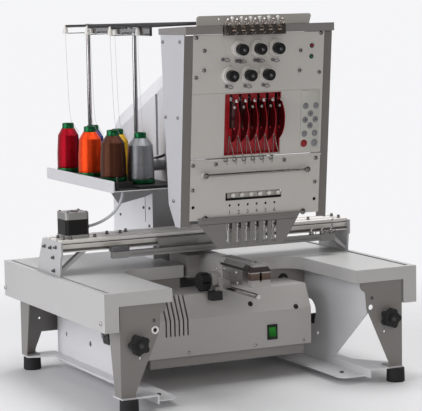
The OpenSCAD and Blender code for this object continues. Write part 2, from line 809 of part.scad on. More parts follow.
// Front thread guide: a polished bar with six thread cups and seven rings.
module front_guide() {
  xm = head_x + bank_u - 15;
  z0 = cap_z - 3;
  color("#b8b4ae") {
    difference() {
      translate([xm - 66, cap_y - 12, z0]) cube([132, 12, 20]);
      for (i = [0:5])
        translate([xm + (i - 2.5)*pitch, 0, z0 + 12]) pin_y(cap_y - 14, cap_y - 4, 15);
    }
    for (i = [0:6])
      translate([xm + (i - 3)*pitch, cap_y - 10, z0 + 24.5]) rotate([90, 0, 0])
        rotate_extrude($fn = 24) translate([4.6, 0]) circle(1.8, $fn = 12);
  }
}

// Red shield unit: a box behind the window with six round fins that stand out beside the levers.
module shield_unit() {
  color("#9c1420") on_head() translate([bank_u, 0, 0]) difference() {
    union() {
      difference() {
        translate([-71.5, panel_t, 126]) cube([127, shield_y - panel_t, 123]);
        translate([-69, panel_t - 1, 128.5]) cube([122, shield_y - panel_t - 1.5, 118]);
      }
      for (i = [0:5])
        yz_sheet((i - 2.5)*pitch + 2, 1.5) intersection() {
          translate([fin_r - fin_out, fin_v]) circle(fin_r);
          translate([-fin_out - 1, fin_v - fin_r]) square([fin_out + shield_y - 1, 2*fin_r]);
        }
    }
    for (i = [0:5])
      translate([(i - 2.5)*pitch - 4, shield_y - 6, 178]) cube([5.6, 10, 68]);
  }
}

// Needle guard: a trapezoid sheet with a crease and six sight windows.
module needle_guard() {
  color("#8b8781") on_head() translate([bank_u, 0, 0]) {
    difference() {
      xz_sheet(-2, 2) polygon([[-124, 4], [-122, -8], [-77, -60], [65, -60], [84, -34], [105, 4]]);
      for (i = [0:5])
        translate([(i - 2.5)*pitch - 4.5, 0, -31]) xz_sheet(-4, 8) round_rect(12, 44, 2);
    }
    translate([0, -4, 3]) pin_x(-112, 112, 4);
  }
}

// Tension knob on the stem of its post.
module tension_knob(i) {
  on_head() translate([bank_u - 4 + pitch*(i - 4), 0, (i - 1) % 2 == 0 ? 286 : 337]) difference() {
    union() {
      pin_y(-25, -10 - gap, knob_d);
      pin_y(-27.5, -25, knob_d - 7);
    }
    pin_y(-22, 0, stem_d + 2*fit);
  }
}

module tension_knob_1() {
  color("#141414") tension_knob(1);
}

module tension_knob_2() {
  color("#141414") tension_knob(2);
}

module tension_knob_3() {
  color("#141414") tension_knob(3);
}

module tension_knob_4() {
  color("#141414") tension_knob(4);
}

module tension_knob_5() {
  color("#141414") tension_knob(5);
}

module tension_knob_6() {
  color("#141414") tension_knob(6);
}

// Take-up lever: hub on the lever shaft, arm with an elbow, and thread eye.
module takeup_lever(i) {
  on_head() translate([bank_u + (i - 3.5)*pitch, 0, 0]) difference() {
    union() {
      translate([0, pivot_y, pivot_v]) pin_x(-4, 4, 18);
      yz_sheet(-1.25, 2.5) {
        polygon([[pivot_y + 2, pivot_v + 8], [elbow_y + 3, elbow_v + 4], [lever_y, lever_v + 3],
          [lever_y, lever_v - 3], [elbow_y - 3, elbow_v - 5], [pivot_y - 7, pivot_v - 4]]);
        translate([lever_y, lever_v]) circle(3.6);
      }
    }
    translate([0, pivot_y, pivot_v]) pin_x(-6, 6, pivot_d + 2*fit);
    translate([0, lever_y, lever_v]) pin_x(-3, 3, 2.6);
  }
}

module takeup_lever_1() {
  color("#cfcfcf") takeup_lever(1);
}

module takeup_lever_2() {
  color("#cfcfcf") takeup_lever(2);
}

module takeup_lever_3() {
  color("#cfcfcf") takeup_lever(3);
}

module takeup_lever_4() {
  color("#cfcfcf") takeup_lever(4);
}

module takeup_lever_5() {
  color("#cfcfcf") takeup_lever(5);
}

module takeup_lever_6() {
  color("#cfcfcf") takeup_lever(6);
}

// Needle bar: bar, clamp with its screw, presser foot spring and foot, needle.
module needle_bar(i) {
  zf = tip_z + 9;
  translate([head_x + bank_u + (i - 3.5)*pitch, needle_y, 0]) {
    translate([0, 0, zf + 28]) cylinder(h = bar_top - zf - 28, d = bar_d);
    translate([0, 0, zf + 22]) cylinder(h = 14, d = 10);
    translate([0, 0, zf + 30]) pin_y(-7.6, 0, 4);
    translate([0, 0, zf + 4]) cylinder(h = 20, d = 6);
    translate([0, 0, zf]) cylinder(h = 4, d = 9);
    translate([0, 0, tip_z + 8]) cylinder(h = 20, d = 2);
    translate([0, 0, tip_z]) cylinder(h = 8, d1 = 0.6, d2 = 2);
  }
}

module needle_bar_1() {
  color("#d2d2d2") needle_bar(1);
}

module needle_bar_2() {
  color("#d2d2d2") needle_bar(2);
}

module needle_bar_3() {
  color("#d2d2d2") needle_bar(3);
}

module needle_bar_4() {
  color("#d2d2d2") needle_bar(4);
}

module needle_bar_5() {
  color("#d2d2d2") needle_bar(5);
}

module needle_bar_6() {
  color("#d2d2d2") needle_bar(6);
}

base_side_left();
base_side_right();
rubber_feet();
leg_front_left();
leg_front_right();
leg_rear_left();
leg_rear_right();
table_top();
side_beam_left();
side_beam_right();
base_cover();
base_chassis();
lower_arm();
needle_plate();
rotary_hook();
hand_knob();
arm_column();
spool_tray();
thread_stand();
thread_cone_1();
thread_cone_2();
thread_cone_3();
thread_cone_4();
thread_cone_5();
thread_cone_6();
star_knob_left();
star_knob_right();
power_rocker();
gantry_bracket_left();
gantry_bracket_right();
x_beam();
x_motor();
x_carriage();
hoop_bar();
motor_cable();
head_frame();
front_panel();
lower_panel();
head_cap();
front_guide();
shield_unit();
needle_guard();
tension_knob_1();
tension_knob_2();
tension_knob_3();
tension_knob_4();
tension_knob_5();
tension_knob_6();
takeup_lever_1();
takeup_lever_2();
takeup_lever_3();
takeup_lever_4();
takeup_lever_5();
takeup_lever_6();
needle_bar_1();
needle_bar_2();
needle_bar_3();
needle_bar_4();
needle_bar_5();
needle_bar_6();
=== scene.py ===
import json
import math
import bmesh
import bpy
import numpy as np
from mathutils import Matrix

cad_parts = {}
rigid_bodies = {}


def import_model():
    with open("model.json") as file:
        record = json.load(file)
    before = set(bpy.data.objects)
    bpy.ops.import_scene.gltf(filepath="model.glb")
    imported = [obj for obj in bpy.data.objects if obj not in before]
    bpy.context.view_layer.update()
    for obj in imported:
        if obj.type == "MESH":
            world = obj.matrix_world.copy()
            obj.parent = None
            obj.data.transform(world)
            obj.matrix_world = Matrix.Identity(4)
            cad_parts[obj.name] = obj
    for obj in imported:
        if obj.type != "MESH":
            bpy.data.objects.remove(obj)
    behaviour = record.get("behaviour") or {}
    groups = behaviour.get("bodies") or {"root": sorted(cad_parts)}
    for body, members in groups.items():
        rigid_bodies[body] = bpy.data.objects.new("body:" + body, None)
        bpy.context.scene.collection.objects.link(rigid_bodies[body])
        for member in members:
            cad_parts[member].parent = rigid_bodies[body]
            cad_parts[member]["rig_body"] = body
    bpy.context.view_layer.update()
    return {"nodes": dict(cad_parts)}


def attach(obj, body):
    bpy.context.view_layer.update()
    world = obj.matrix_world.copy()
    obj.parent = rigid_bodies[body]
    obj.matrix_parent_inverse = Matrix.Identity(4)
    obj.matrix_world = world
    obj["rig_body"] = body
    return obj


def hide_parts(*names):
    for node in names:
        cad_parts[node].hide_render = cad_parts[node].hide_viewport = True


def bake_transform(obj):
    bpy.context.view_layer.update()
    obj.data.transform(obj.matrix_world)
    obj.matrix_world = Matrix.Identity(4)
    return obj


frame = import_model()
parts = frame["nodes"]

# The view: the operator's left front, a little above the table.
# The long lens stands about four metres off, as in a product photograph.
MM = 0.001
X_AXIS, Y_AXIS, Z_AXIS, TO_FRONT, TO_LEFT = (1, 0, 0), (0, 1, 0), (0, 0, 1), (0, -1, 0), (-1, 0, 0)
PHOTO_WIDTH, FOCAL_PIXELS, SENSOR = 422, 1972.0, 36.0
yaw, pitch, roll = math.radians(26.37), math.radians(6.74), math.radians(-0.98)
ahead = np.array([math.sin(yaw)*math.cos(pitch), math.cos(yaw)*math.cos(pitch), -math.sin(pitch)])
level = np.array([math.cos(yaw), -math.sin(yaw), 0.0])
upright = np.cross(level, ahead)
right = math.cos(roll)*level + math.sin(roll)*upright
above = -math.sin(roll)*level + math.cos(roll)*upright
lens = bpy.data.cameras.new("camera")
lens.sensor_width = SENSOR
lens.lens = FOCAL_PIXELS/PHOTO_WIDTH*SENSOR
lens.clip_end = 100
camera = bpy.data.objects.new("camera", lens)
bpy.context.scene.collection.objects.link(camera)
place = np.array([-1813.3, -3697.4, 844.3])*MM
camera.matrix_world = Matrix([[*row] for row in np.vstack([
    np.column_stack([right, above, -ahead, place]), [0, 0, 0, 1]])])
bpy.context.scene.camera = camera
bpy.context.scene.view_settings.view_transform = "Standard"

# Studio: a wide pale floor, and big soft lamps at the left, overhead and in front.
# The white surround shows to the camera and in metal, and lights the object only softly.
AMBIENT, DIM, SURROUND = 0.20, 0.10, 0.93


def soft_lamp(name, place, aim, size, power, colour=(1, 1, 1)):
    """Square area lamp at place, turned so that it faces the point aim."""
    data = bpy.data.lights.new(name, "AREA")
    data.size = size
    data.energy = power
    data.color = colour
    lamp = bpy.data.objects.new(name, data)
    bpy.context.scene.collection.objects.link(lamp)
    lamp.matrix_world = Matrix.Translation(place) @ (
        Matrix.Translation(aim).to_translation() - Matrix.Translation(place).to_translation()
    ).to_track_quat("-Z", "Y").to_matrix().to_4x4()


soft_lamp("window_lamp", (-2.9, -0.3, 1.3), (0, 0, 0.3), 1.9, 54, (0.97, 0.97, 1.0))
soft_lamp("roof_lamp", (0.5, 0.2, 3.0), (0, 0, 0.3), 1.9, 70)
soft_lamp("front_lamp", (-0.6, -3.6, 1.3), (0, 0, 0.4), 1.6, 26, (1.0, 0.945, 0.90))
world = bpy.data.worlds.new("surround")
bpy.context.scene.world = world
world.use_nodes = True
tree = world.node_tree
ray = tree.nodes.new("ShaderNodeLightPath")
seen = tree.nodes.new("ShaderNodeMath")
seen.operation = "MAXIMUM"
tree.links.new(ray.outputs["Is Camera Ray"], seen.inputs[0])
tree.links.new(ray.outputs["Is Transmission Ray"], seen.inputs[1])
gaze = tree.nodes.new("ShaderNodeTexCoord")
heading = tree.nodes.new("ShaderNodeSeparateXYZ")
tree.links.new(gaze.outputs["Generated"], heading.inputs[0])
bright_side = tree.nodes.new("ShaderNodeMapRange")
bright_side.inputs["From Min"].default_value, bright_side.inputs["From Max"].default_value = -0.45, 0.25
bright_side.inputs["To Min"].default_value, bright_side.inputs["To Max"].default_value = DIM, 1.0
tree.links.new(heading.outputs[1], bright_side.inputs["Value"])
mirrored = tree.nodes.new("ShaderNodeMath")
mirrored.operation = "MULTIPLY"
tree.links.new(ray.outputs["Is Glossy Ray"], mirrored.inputs[0])
tree.links.new(bright_side.outputs[0], mirrored.inputs[1])
shown = tree.nodes.new("ShaderNodeMath")
shown.operation = "MAXIMUM"
tree.links.new(seen.outputs[0], shown.inputs[0])
tree.links.new(mirrored.outputs[0], shown.inputs[1])
lit = tree.nodes.new("ShaderNodeMath")
lit.operation = "MULTIPLY"
tree.links.new(ray.outputs["Is Diffuse Ray"], lit.inputs[0])
lit.inputs[1].default_value = AMBIENT
glow = tree.nodes.new("ShaderNodeMath")
glow.operation = "MULTIPLY_ADD"
glow.inputs[1].default_value = SURROUND
tree.links.new(shown.outputs[0], glow.inputs[0])
tree.links.new(lit.outputs[0], glow.inputs[2])
tree.nodes["Background"].inputs["Color"].default_value = (0.985, 0.985, 1.0, 1)
tree.links.new(glow.outputs[0], tree.nodes["Background"].inputs["Strength"])

floor_mesh = bpy.data.meshes.new("floor")
floor_mesh.from_pydata([(-9, -9, 0), (9, -9, 0), (9, 30, 0), (-9, 30, 0)], [], [(0, 1, 2, 3)])
floor = bpy.data.objects.new("floor", floor_mesh)
floor_paint = bpy.data.materials.new("floor_paint")
floor_paint.use_nodes = True
tree = floor_paint.node_tree
tree.nodes["Principled BSDF"].inputs["Base Color"].default_value = (0.76, 0.76, 0.77, 1)
tree.nodes["Principled BSDF"].inputs["Roughness"].default_value = 0.6
spot = tree.nodes.new("ShaderNodeTexCoord")
reach = tree.nodes.new("ShaderNodeVectorMath")
reach.operation = "LENGTH"
tree.links.new(spot.outputs["Object"], reach.inputs[0])
fade = tree.nodes.new("ShaderNodeMapRange")
fade.interpolation_type = "SMOOTHSTEP"
fade.inputs["From Min"].default_value, fade.inputs["From Max"].default_value = 0.55, 1.5
tree.links.new(reach.outputs["Value"], fade.inputs["Value"])
ray = tree.nodes.new("ShaderNodeLightPath")
far = tree.nodes.new("ShaderNodeMath")
far.operation = "MULTIPLY"
tree.links.new(fade.outputs[0], far.inputs[0])
tree.links.new(ray.outputs["Is Camera Ray"], far.inputs[1])
pale = tree.nodes.new("ShaderNodeEmission")
pale.inputs["Color"].default_value = (0.915, 0.915, 0.93, 1)
blend = tree.nodes.new("ShaderNodeMixShader")
tree.links.new(far.outputs[0], blend.inputs[0])
tree.links.new(tree.nodes["Principled BSDF"].outputs[0], blend.inputs[1])
tree.links.new(pale.outputs[0], blend.inputs[2])
tree.links.new(blend.outputs[0], tree.nodes["Material Output"].inputs["Surface"])
floor_mesh.materials.append(floor_paint)
bpy.context.scene.collection.objects.link(floor)

# Base, legs, table and side beams: folded steel sheet, welded, then powder coated in greys.
# The coat has a fine orange peel, small changes of tone and soft, slightly rounded edges.
SHEET = 2.5
LIGHT_GREY, PANEL_GREY = (0.72, 0.72, 0.735), (0.52, 0.505, 0.48)
DARK_GREY = (0.215, 0.205, 0.195)


def start_finish(name, roughness, metallic=0.0):
    """A shader with its constant roughness and metal set, and the coordinates that its patterns use."""
    material = bpy.data.materials.new(name)
    material.use_nodes = True
    tree = material.node_tree
    shader = tree.nodes["Principled BSDF"]
    shader.inputs["Roughness"].default_value = roughness
    shader.inputs["Metallic"].default_value = metallic
    return material, tree, shader, tree.nodes.new("ShaderNodeTexCoord")


def cloudy(tree, coords, scale, detail=2.0, stretch=(1, 1, 1)):
    """Noise on Object coordinates, scale features to the metre, drawn out along an axis by stretch."""
    noise = tree.nodes.new("ShaderNodeTexNoise")
    noise.inputs["Scale"].default_value = scale
    noise.inputs["Detail"].default_value = detail
    turn = tree.nodes.new("ShaderNodeMapping")
    turn.inputs["Scale"].default_value = stretch
    tree.links.new(coords.outputs["Object"], turn.inputs["Vector"])
    tree.links.new(turn.outputs["Vector"], noise.inputs["Vector"])
    return noise.outputs["Fac"]


def calc(tree, operation, first, second=0.0, third=0.0):
    """One sum on sockets or numbers."""
    node = tree.nodes.new("ShaderNodeMath")
    node.operation = operation
    for slot, value in zip(node.inputs, (first, second, third)):
        if isinstance(value, (int, float)):
            slot.default_value = value
        else:
            tree.links.new(value, slot)
    return node.outputs[0]


def tone(tree, low, high, share):
    """Colour that goes from low to high with share; either may be a colour or a socket."""
    node = tree.nodes.new("ShaderNodeMix")
    node.data_type = "RGBA"
    tree.links.new(share, node.inputs[0])
    for slot, value in zip(node.inputs[6:8], (low, high)):
        if isinstance(value, tuple):
            slot.default_value = (*value, 1)
        else:
            tree.links.new(value, slot)
    return node.outputs[2]


def relief(tree, shader, height, depth, edge=0.0):
    """Bump of that depth in metres, over edges that look rounded by edge metres."""
    bump = tree.nodes.new("ShaderNodeBump")
    bump.inputs["Distance"].default_value = depth
    bump.inputs["Strength"].default_value = 0.6
    tree.links.new(height, bump.inputs["Height"])
    if edge:
        round_edge = tree.nodes.new("ShaderNodeBevel")
        round_edge.samples = 4
        round_edge.inputs["Radius"].default_value = edge
        tree.links.new(round_edge.outputs[0], bump.inputs["Normal"])
    tree.links.new(bump.outputs[0], shader.inputs["Normal"])


def scaled(colour, k):
    """The colour times k."""
    return tuple(float(c*k) for c in colour)


def along(tree, coords, axis, kind="Object"):
    """One coordinate of the place (Object) or of the surface's direction (Normal)."""
    split = tree.nodes.new("ShaderNodeSeparateXYZ")
    tree.links.new(coords.outputs[kind], split.inputs[0])
    return split.outputs[axis]


DRIFT_LOW, DRIFT_HIGH = 0.955, 1.035


def powder_coat(name, colour, other=None, where=None, roughness=0.42):
    """Paint with slow changes of tone, fine specks and orange peel; other colour where the mask is 1."""
    material, tree, shader, coords = start_finish(name, roughness)
    slow = cloudy(tree, coords, 6, 3)
    paint = tone(tree, scaled(colour, DRIFT_LOW), scaled(colour, DRIFT_HIGH), slow)
    if other is not None:
        second = tone(tree, scaled(other, DRIFT_LOW), scaled(other, DRIFT_HIGH), slow)
        paint = tone(tree, paint, second, where(tree, coords))
    specks = cloudy(tree, coords, 1700, 1)
    fleck = calc(tree, "MULTIPLY_ADD", specks, 0.10, 0.95)
    shade = tree.nodes.new("ShaderNodeMix")
    shade.data_type, shade.blend_type = "RGBA", "MULTIPLY"
    shade.inputs[0].default_value = 1.0
    tree.links.new(paint, shade.inputs[6])
    tree.links.new(fleck, shade.inputs[7])
    tree.links.new(shade.outputs[2], shader.inputs["Base Color"])
    tree.links.new(calc(tree, "MULTIPLY_ADD", slow, 0.12, roughness - 0.06), shader.inputs["Roughness"])
    relief(tree, shader, cloudy(tree, coords, 900, 2), 0.00006, 0.0008)
    return material


def dress(material, *names):
    """The finish on solids of the frame."""
    for name in names:
        parts[name].data.materials.clear()
        parts[name].data.materials.append(material)


light_coat = powder_coat("light_coat", LIGHT_GREY)
table_coat = powder_coat("table_coat", (0.48, 0.475, 0.47))
dark_coat = powder_coat("dark_coat", DARK_GREY)
dress(light_coat, "base_side_left", "base_side_right")
dress(table_coat, "table_top", "side_beam_left", "side_beam_right")
dress(dark_coat, "leg_front_left", "leg_front_right", "leg_rear_left", "leg_rear_right")


def make(name, shapes, material, body, sharp=40):
    """One mesh from ring grids: rows of closed rings, joined by four-sided faces, with both ends capped."""
    verts, faces, start = [], [], 0
    for grid in shapes:
        rows, n = grid.shape[:2]
        i, j = np.meshgrid(np.arange(rows - 1), np.arange(n), indexing="ij")
        k = (j + 1) % n
        faces += (np.stack([i*n + j, i*n + k, i*n + n + k, i*n + n + j], -1).reshape(-1, 4) + start).tolist()
        faces += [(np.arange(n)[::-1] + start).tolist(), (np.arange(n) + (rows - 1)*n + start).tolist()]
        verts.append(grid.reshape(-1, 3))
        start += rows*n
    mesh = bpy.data.meshes.new(name)
    mesh.from_pydata(np.concatenate(verts).tolist(), [], faces)
    clean = bmesh.new()
    clean.from_mesh(mesh)
    bmesh.ops.recalc_face_normals(clean, faces=clean.faces)
    clean.to_mesh(mesh)
    clean.free()
    mesh.polygons.foreach_set("use_smooth", np.ones(len(mesh.polygons), bool))
    mesh.set_sharp_from_angle(angle=math.radians(sharp))
    mesh.materials.append(material)
    piece = bpy.data.objects.new(name, mesh)
    bpy.context.scene.collection.objects.link(piece)
    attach(piece, body)
    return piece


def turned(profile, foot, axis, n=20):
    """Surface of revolution: a ring of radius r at height h on the axis for each (r, h), in mm."""
    a = np.asarray(axis, float)/np.linalg.norm(axis)
    u = np.cross(a, [0.31, 0.47, 0.83] if abs(a[0]) > 0.5 else [1, 0, 0])
    u /= np.linalg.norm(u)
    v = np.cross(a, u)
    t = np.linspace(0, 2*np.pi, n, endpoint=False)
    ring = np.cos(t)[:, None]*u + np.sin(t)[:, None]*v
    p = np.asarray(profile, float)
    return (np.asarray(foot, float) + p[:, :1, None]*ring + (p[:, 1:]*a)[:, None])*MM


def rounded_plate(w, h, r, profile, place, across=X_AXIS, up=Z_AXIS):
    """Plate with round corners: at each (inset, height) stands the outline, drawn in by inset."""
    eu, ev = np.asarray(across, float), np.asarray(up, float)
    t = np.linspace(0, 2*np.pi, 32, endpoint=False) + np.pi/32
    c, s = np.cos(t), np.sin(t)
    rows = []
    for inset, height in profile:
        q = max(r - inset, 0.05)
        x = np.sign(c)*(w/2 - inset - q) + q*c
        y = np.sign(s)*(h/2 - inset - q) + q*s
        rows.append(np.asarray(place, float) + x[:, None]*eu + y[:, None]*ev + height*np.cross(eu, ev))
    return np.array(rows)*MM


def wire(points, r, n=10, side=(0.21, 0.13, 0.97)):
    """Round bar of radius r carried along a line of points, in mm."""
    p = np.asarray(points, float)
    d = np.gradient(p, axis=0)
    d /= np.linalg.norm(d, axis=1)[:, None]
    u = np.cross(d, side)
    u /= np.linalg.norm(u, axis=1)[:, None]
    v = np.cross(d, u)
    t = np.linspace(0, 2*np.pi, n, endpoint=False)
    return (p[:, None] + r*(np.cos(t)[:, None]*u[:, None] + np.sin(t)[:, None]*v[:, None]))*MM


def smooth_line(points, n):
    """Even run of n points on a curve of cubics through the given ones, with chord slopes at their ends."""
    p = np.asarray(points, float)
    m = np.gradient(p, axis=0)
    t = np.linspace(0, len(p) - 1, n)
    i = np.minimum(t.astype(int), len(p) - 2)
    f = (t - i)[:, None]
    return ((2*f**3 - 3*f**2 + 1)*p[i] + (f**3 - 2*f**2 + f)*m[i]
            + (3*f**2 - 2*f**3)*p[i + 1] + (f**3 - f**2)*m[i + 1])


# Cap screws in the rails and the legs: zinc-plated socket heads, dark with oil.
# Each head is a low dome with a hollow in the middle.
def screw(place, axis, r):
    """Dome of radius r with a socket sunk in its top."""
    return turned([[r, -0.4], [r, 0.35*r], [0.86*r, 0.62*r], [0.55*r, 0.78*r], [0.42*r, 0.78*r],
                   [0.38*r, 0.25*r], [0.02, 0.22*r]], place, axis, 14)


def plated(name, colour, roughness, streak=(1, 1, 1), dark=None):
    """Bare or plated metal: fine streaks change its tone and its gloss; painted shade darkens it where the
    mask is 1.
    """
    material, tree, shader, coords = start_finish(name, roughness, 1.0)
    fine = cloudy(tree, coords, 420, 3, streak)
    broad = cloudy(tree, coords, 14, 2)
    mix = calc(tree, "MULTIPLY_ADD", broad, 0.5, calc(tree, "MULTIPLY", fine, 0.5))
    sheen = tone(tree, scaled(colour, 0.8), scaled(colour, 1.12), mix)
    if dark is not None:
        sheen = tone(tree, sheen, scaled(colour, 0.14), dark(tree, coords))
    tree.links.new(sheen, shader.inputs["Base Color"])
    tree.links.new(calc(tree, "MULTIPLY_ADD", fine, 0.16, roughness - 0.08), shader.inputs["Roughness"])
    relief(tree, shader, fine, 0.00002, 0.0004)
    return material


dark_zinc = plated("dark_zinc", (0.14, 0.135, 0.13), 0.32)
bright_zinc = plated("bright_zinc", (0.50, 0.48, 0.46), 0.22)
button_zinc = plated("button_zinc", (0.24, 0.23, 0.22), 0.2)
rail_screws = [screw((s*x, y, 16), Z_AXIS, 4.6) for s in (-1, 1) for x, y in ((209, -215), (209, 130))]
make("rail_screws", rail_screws, dark_zinc, "frame")
leg_screws = [screw((s*245.2, -277, 178), TO_FRONT, 3.2) for s in (-1, 1)]
make("leg_screws", leg_screws, dark_zinc, "frame")
beam_screws = [screw((s*350, y, 179), (s, 0, 0), 4.4) for s in (-1, 1) for y in (-262.3, 252.9)]
make("beam_screws", beam_screws, bright_zinc, "frame")

# Rubber buffers under the rails and the white grommet in the left leg.
# Moulded rubber, matt, with fine pores; the grommet is a snap-in ring.
PALE, LOW_GLINT = 0.1, 0.22


def moulding(name, colour, roughness, pore=600, depth=0.00006):
    """Moulded plastic or rubber: fine pores, a tone that drifts a little, and less glint where it is dark."""
    material, tree, shader, coords = start_finish(name, roughness)
    if max(colour) < PALE:
        shader.inputs["Specular IOR Level"].default_value = LOW_GLINT
    drift = cloudy(tree, coords, 30, 3)
    tree.links.new(tone(tree, scaled(colour, 0.82), scaled(colour, 1.22), drift), shader.inputs["Base Color"])
    tree.links.new(calc(tree, "MULTIPLY_ADD", drift, 0.2, roughness - 0.1), shader.inputs["Roughness"])
    relief(tree, shader, cloudy(tree, coords, pore, 2), depth, 0.0006)
    return material


rubber = moulding("rubber", (0.022, 0.022, 0.023), 0.72)
black_plastic = moulding("black_plastic", (0.018, 0.018, 0.019), 0.34)
white_plastic = moulding("white_plastic", (0.80, 0.79, 0.76), 0.35)
dress(rubber, "rubber_feet")
ring = [[7.6, 0], [8.1, 0.9], [7.3, 1.8], [5.6, 1.8], [4.2, 1.3], [3.9, 0.2], [3.9, -3.2], [5.2, -3.4]]
GROMMET = (-243.2, -277, 159)
make("leg_grommet", [turned(ring, GROMMET, TO_FRONT, 24)], white_plastic, "frame")
core = turned([[3.8, -0.4], [3.8, 0.5], [0.1, 0.5]], GROMMET, TO_FRONT, 20)
make("grommet_core", [core], rubber, "frame")

# Star knobs that clamp the legs: black moulded stars on a steel stud.
# A smooth cap closes the hole in the middle of each.
dress(black_plastic, "star_knob_left", "star_knob_right")
STAR_X, STAR_Z = 283, 135
cap_rows = [[4.9, -2], [4.9, 0.2], [4.2, 0.9], [2.4, 1.5], [0.1, 1.7]]
for side, name in ((-1, "left"), (1, "right")):
    cap = turned(cap_rows, (side*STAR_X, -302.6, STAR_Z), TO_FRONT, 20)
    make("star_cap_" + name, [cap], moulding("knob_cap_" + name, (0.05, 0.05, 0.052), 0.2), "star_" + name)

# Brush strips in the slots of the side beams: bristles on both edges, grey left and black right.
# They keep dust out and part round the gantry's brackets.
SLOT_X, TABLE_Z = 335.0, 238.0
strip_finish = {-1: moulding("grey_bristle", (0.46, 0.46, 0.455), 0.7, 1500, 0.0002),
                1: moulding("black_bristle", (0.03, 0.03, 0.032), 0.8, 1500, 0.0002)}
for side in (-1, 1):
    bristles = []
    for edge in (-1, 1):
        y = np.linspace(-268, 246, 420)
        reach = 1.72 + 0.22*np.sin(y*3.7) + 0.12*np.sin(y*9.1 + side)
        outer = np.full_like(y, 4.0)
        x = side*SLOT_X + edge*np.stack([outer, outer, outer - reach, outer - reach], -1)
        z = TABLE_Z - 1.0 - np.array([0, 0.7, 0.7, 0])[None]*np.ones_like(y)[:, None]
        bristles.append(np.stack([x, np.repeat(y[:, None], 4, 1), z], -1)*MM)
    brush = "slot_brush_left" if side < 0 else "slot_brush_right"
    make(brush, bristles, strip_finish[side], "frame", sharp=20)

# Base cover, chassis and column: the cover is painted sheet with vents; the column is a light casting, its
# front faces painted darker as shade.
# The cross wall and the pan behind the cover are a darker grey.
def front_shade(tree, coords):
    """1 on faces that look to the operator, which take the darker colour: darker paint and painted shade; 0
    on the side walls.
    """
    return calc(tree, "LESS_THAN", along(tree, coords, 1, "Normal"), -0.6)


cover_coat = powder_coat("cover_coat", (0.43, 0.42, 0.407))
chassis_coat = powder_coat("chassis_coat", (0.27, 0.26, 0.25))
# The column's front faces are painted darker than its side walls: painted shade.
column_coat = powder_coat("column_coat", (0.78, 0.78, 0.80), (0.34, 0.335, 0.345), front_shade)
dress(cover_coat, "base_cover")
dress(chassis_coat, "base_chassis")
dress(column_coat, "arm_column")
COVER_FRONT, FOLD_Z, SLOPE_RUN, SLOPE_RISE = -121, 142, 23.0, 48
slope = np.array([0, -SLOPE_RISE, SLOPE_RUN])/math.hypot(SLOPE_RISE, SLOPE_RUN)
plug = [[5.6, 0], [5.6, 0.8], [4.8, 1.6], [3.0, 2.0], [0.1, 2.1]]
plugs = [turned(plug, (x, COVER_FRONT + SLOPE_RUN*(z - FOLD_Z)/SLOPE_RISE, z), slope, 20)
         for x, z in ((51, 160), (155, 146))]
wide_plug = [[12.4, 0], [12.6, 1.2], [11.6, 2.4], [6, 2.8], [0.1, 2.8]]
plugs += [turned(wide_plug, (s*185, -8, 187), TO_FRONT, 28) for s in (-1, 1)]
make("hole_plugs", plugs, black_plastic, "frame")
centre = turned([[5.2, 2.6], [5.2, 3.2], [4.2, 3.9], [0.1, 4.1]], (185, -8, 187), TO_FRONT, 20)
make("plug_centre", [centre], column_coat, "frame")
CLAMP_X, COLUMN_X = 239.5, 69
clamp_plate = [(0.8, -4), (0, -3.2), (0, 3.2), (0.8, 4)]
clamp_boss = [[6, -5], [6.6, -4.4], [6.6, 4.4], [6, 5], [0.1, 5]]
clamps = []
for s in (-1, 1):
    clamps.append(rounded_plate(30, 15, 3, clamp_plate, (s*CLAMP_X, -36, 99), Y_AXIS, Z_AXIS))
    clamps.append(turned(clamp_boss, (s*CLAMP_X, -44, 106.5), X_AXIS, 24))
make("side_clamps", clamps, black_plastic, "frame")
COLUMN_SCREWS = ((270.8, 316.7), (147, 343.8), (116.9, 345), (118.8, 307), (119.2, 298))
column_screws = [screw((s*COLUMN_X, y, z), (s, 0, 0), 3.2) for s in (-1, 1) for y, z in COLUMN_SCREWS]
make("column_screws", column_screws, dark_zinc, "frame")
# A black strip along the seam on each side of the column: painted shade in the groove.
seam_rows = [(0, -0.4), (0, 0.25)]
seam_shadow = [rounded_plate(1.6, 76, 0.3, seam_rows, (s*COLUMN_X, 139, 352), (0, -s, 0), Z_AXIS) for s in (-1, 1)]
make("column_seam_shadow", seam_shadow, rubber, "frame")
cover_screws = [screw((x, COVER_FRONT, 73.6), TO_FRONT, 3.4) for x in (-96.2, 57.8, 171)]
make("cover_screws", cover_screws, bright_zinc, "frame")

# Mains switch: a lit green rocker in a black snap-in frame.
# The rocker is clear tinted plastic; its upper half is painted brighter as a highlight.
rocker_finish, tree, shader, coords = start_finish("green_rocker", 0.16)
# Painted highlight: the base colour grows brighter towards the top of the rocker.
height = calc(tree, "MULTIPLY_ADD", along(tree, coords, 2), 45.0, -3.9)
glint = tone(tree, (0.008, 0.10, 0.012), (0.03, 0.30, 0.035), height)
tree.links.new(glint, shader.inputs["Base Color"])
relief(tree, shader, cloudy(tree, coords, 300, 1), 0.00003, 0.0006)
dress(rocker_finish, "power_rocker")
SWITCH_X, SWITCH_Z = 97, 98
border = []
for x, z, w, h in ((-10, 0, 3.2, 31.4), (10, 0, 3.2, 31.4), (0, -13.7, 23, 4.0), (0, 13.7, 23, 4.0)):
    place = (SWITCH_X + x, -123, SWITCH_Z + z)
    border.append(rounded_plate(w, h, 0.8, [(0, -2.6), (0, 0.5), (0.6, 0.9)], place))
make("switch_border", border, black_plastic, "frame")
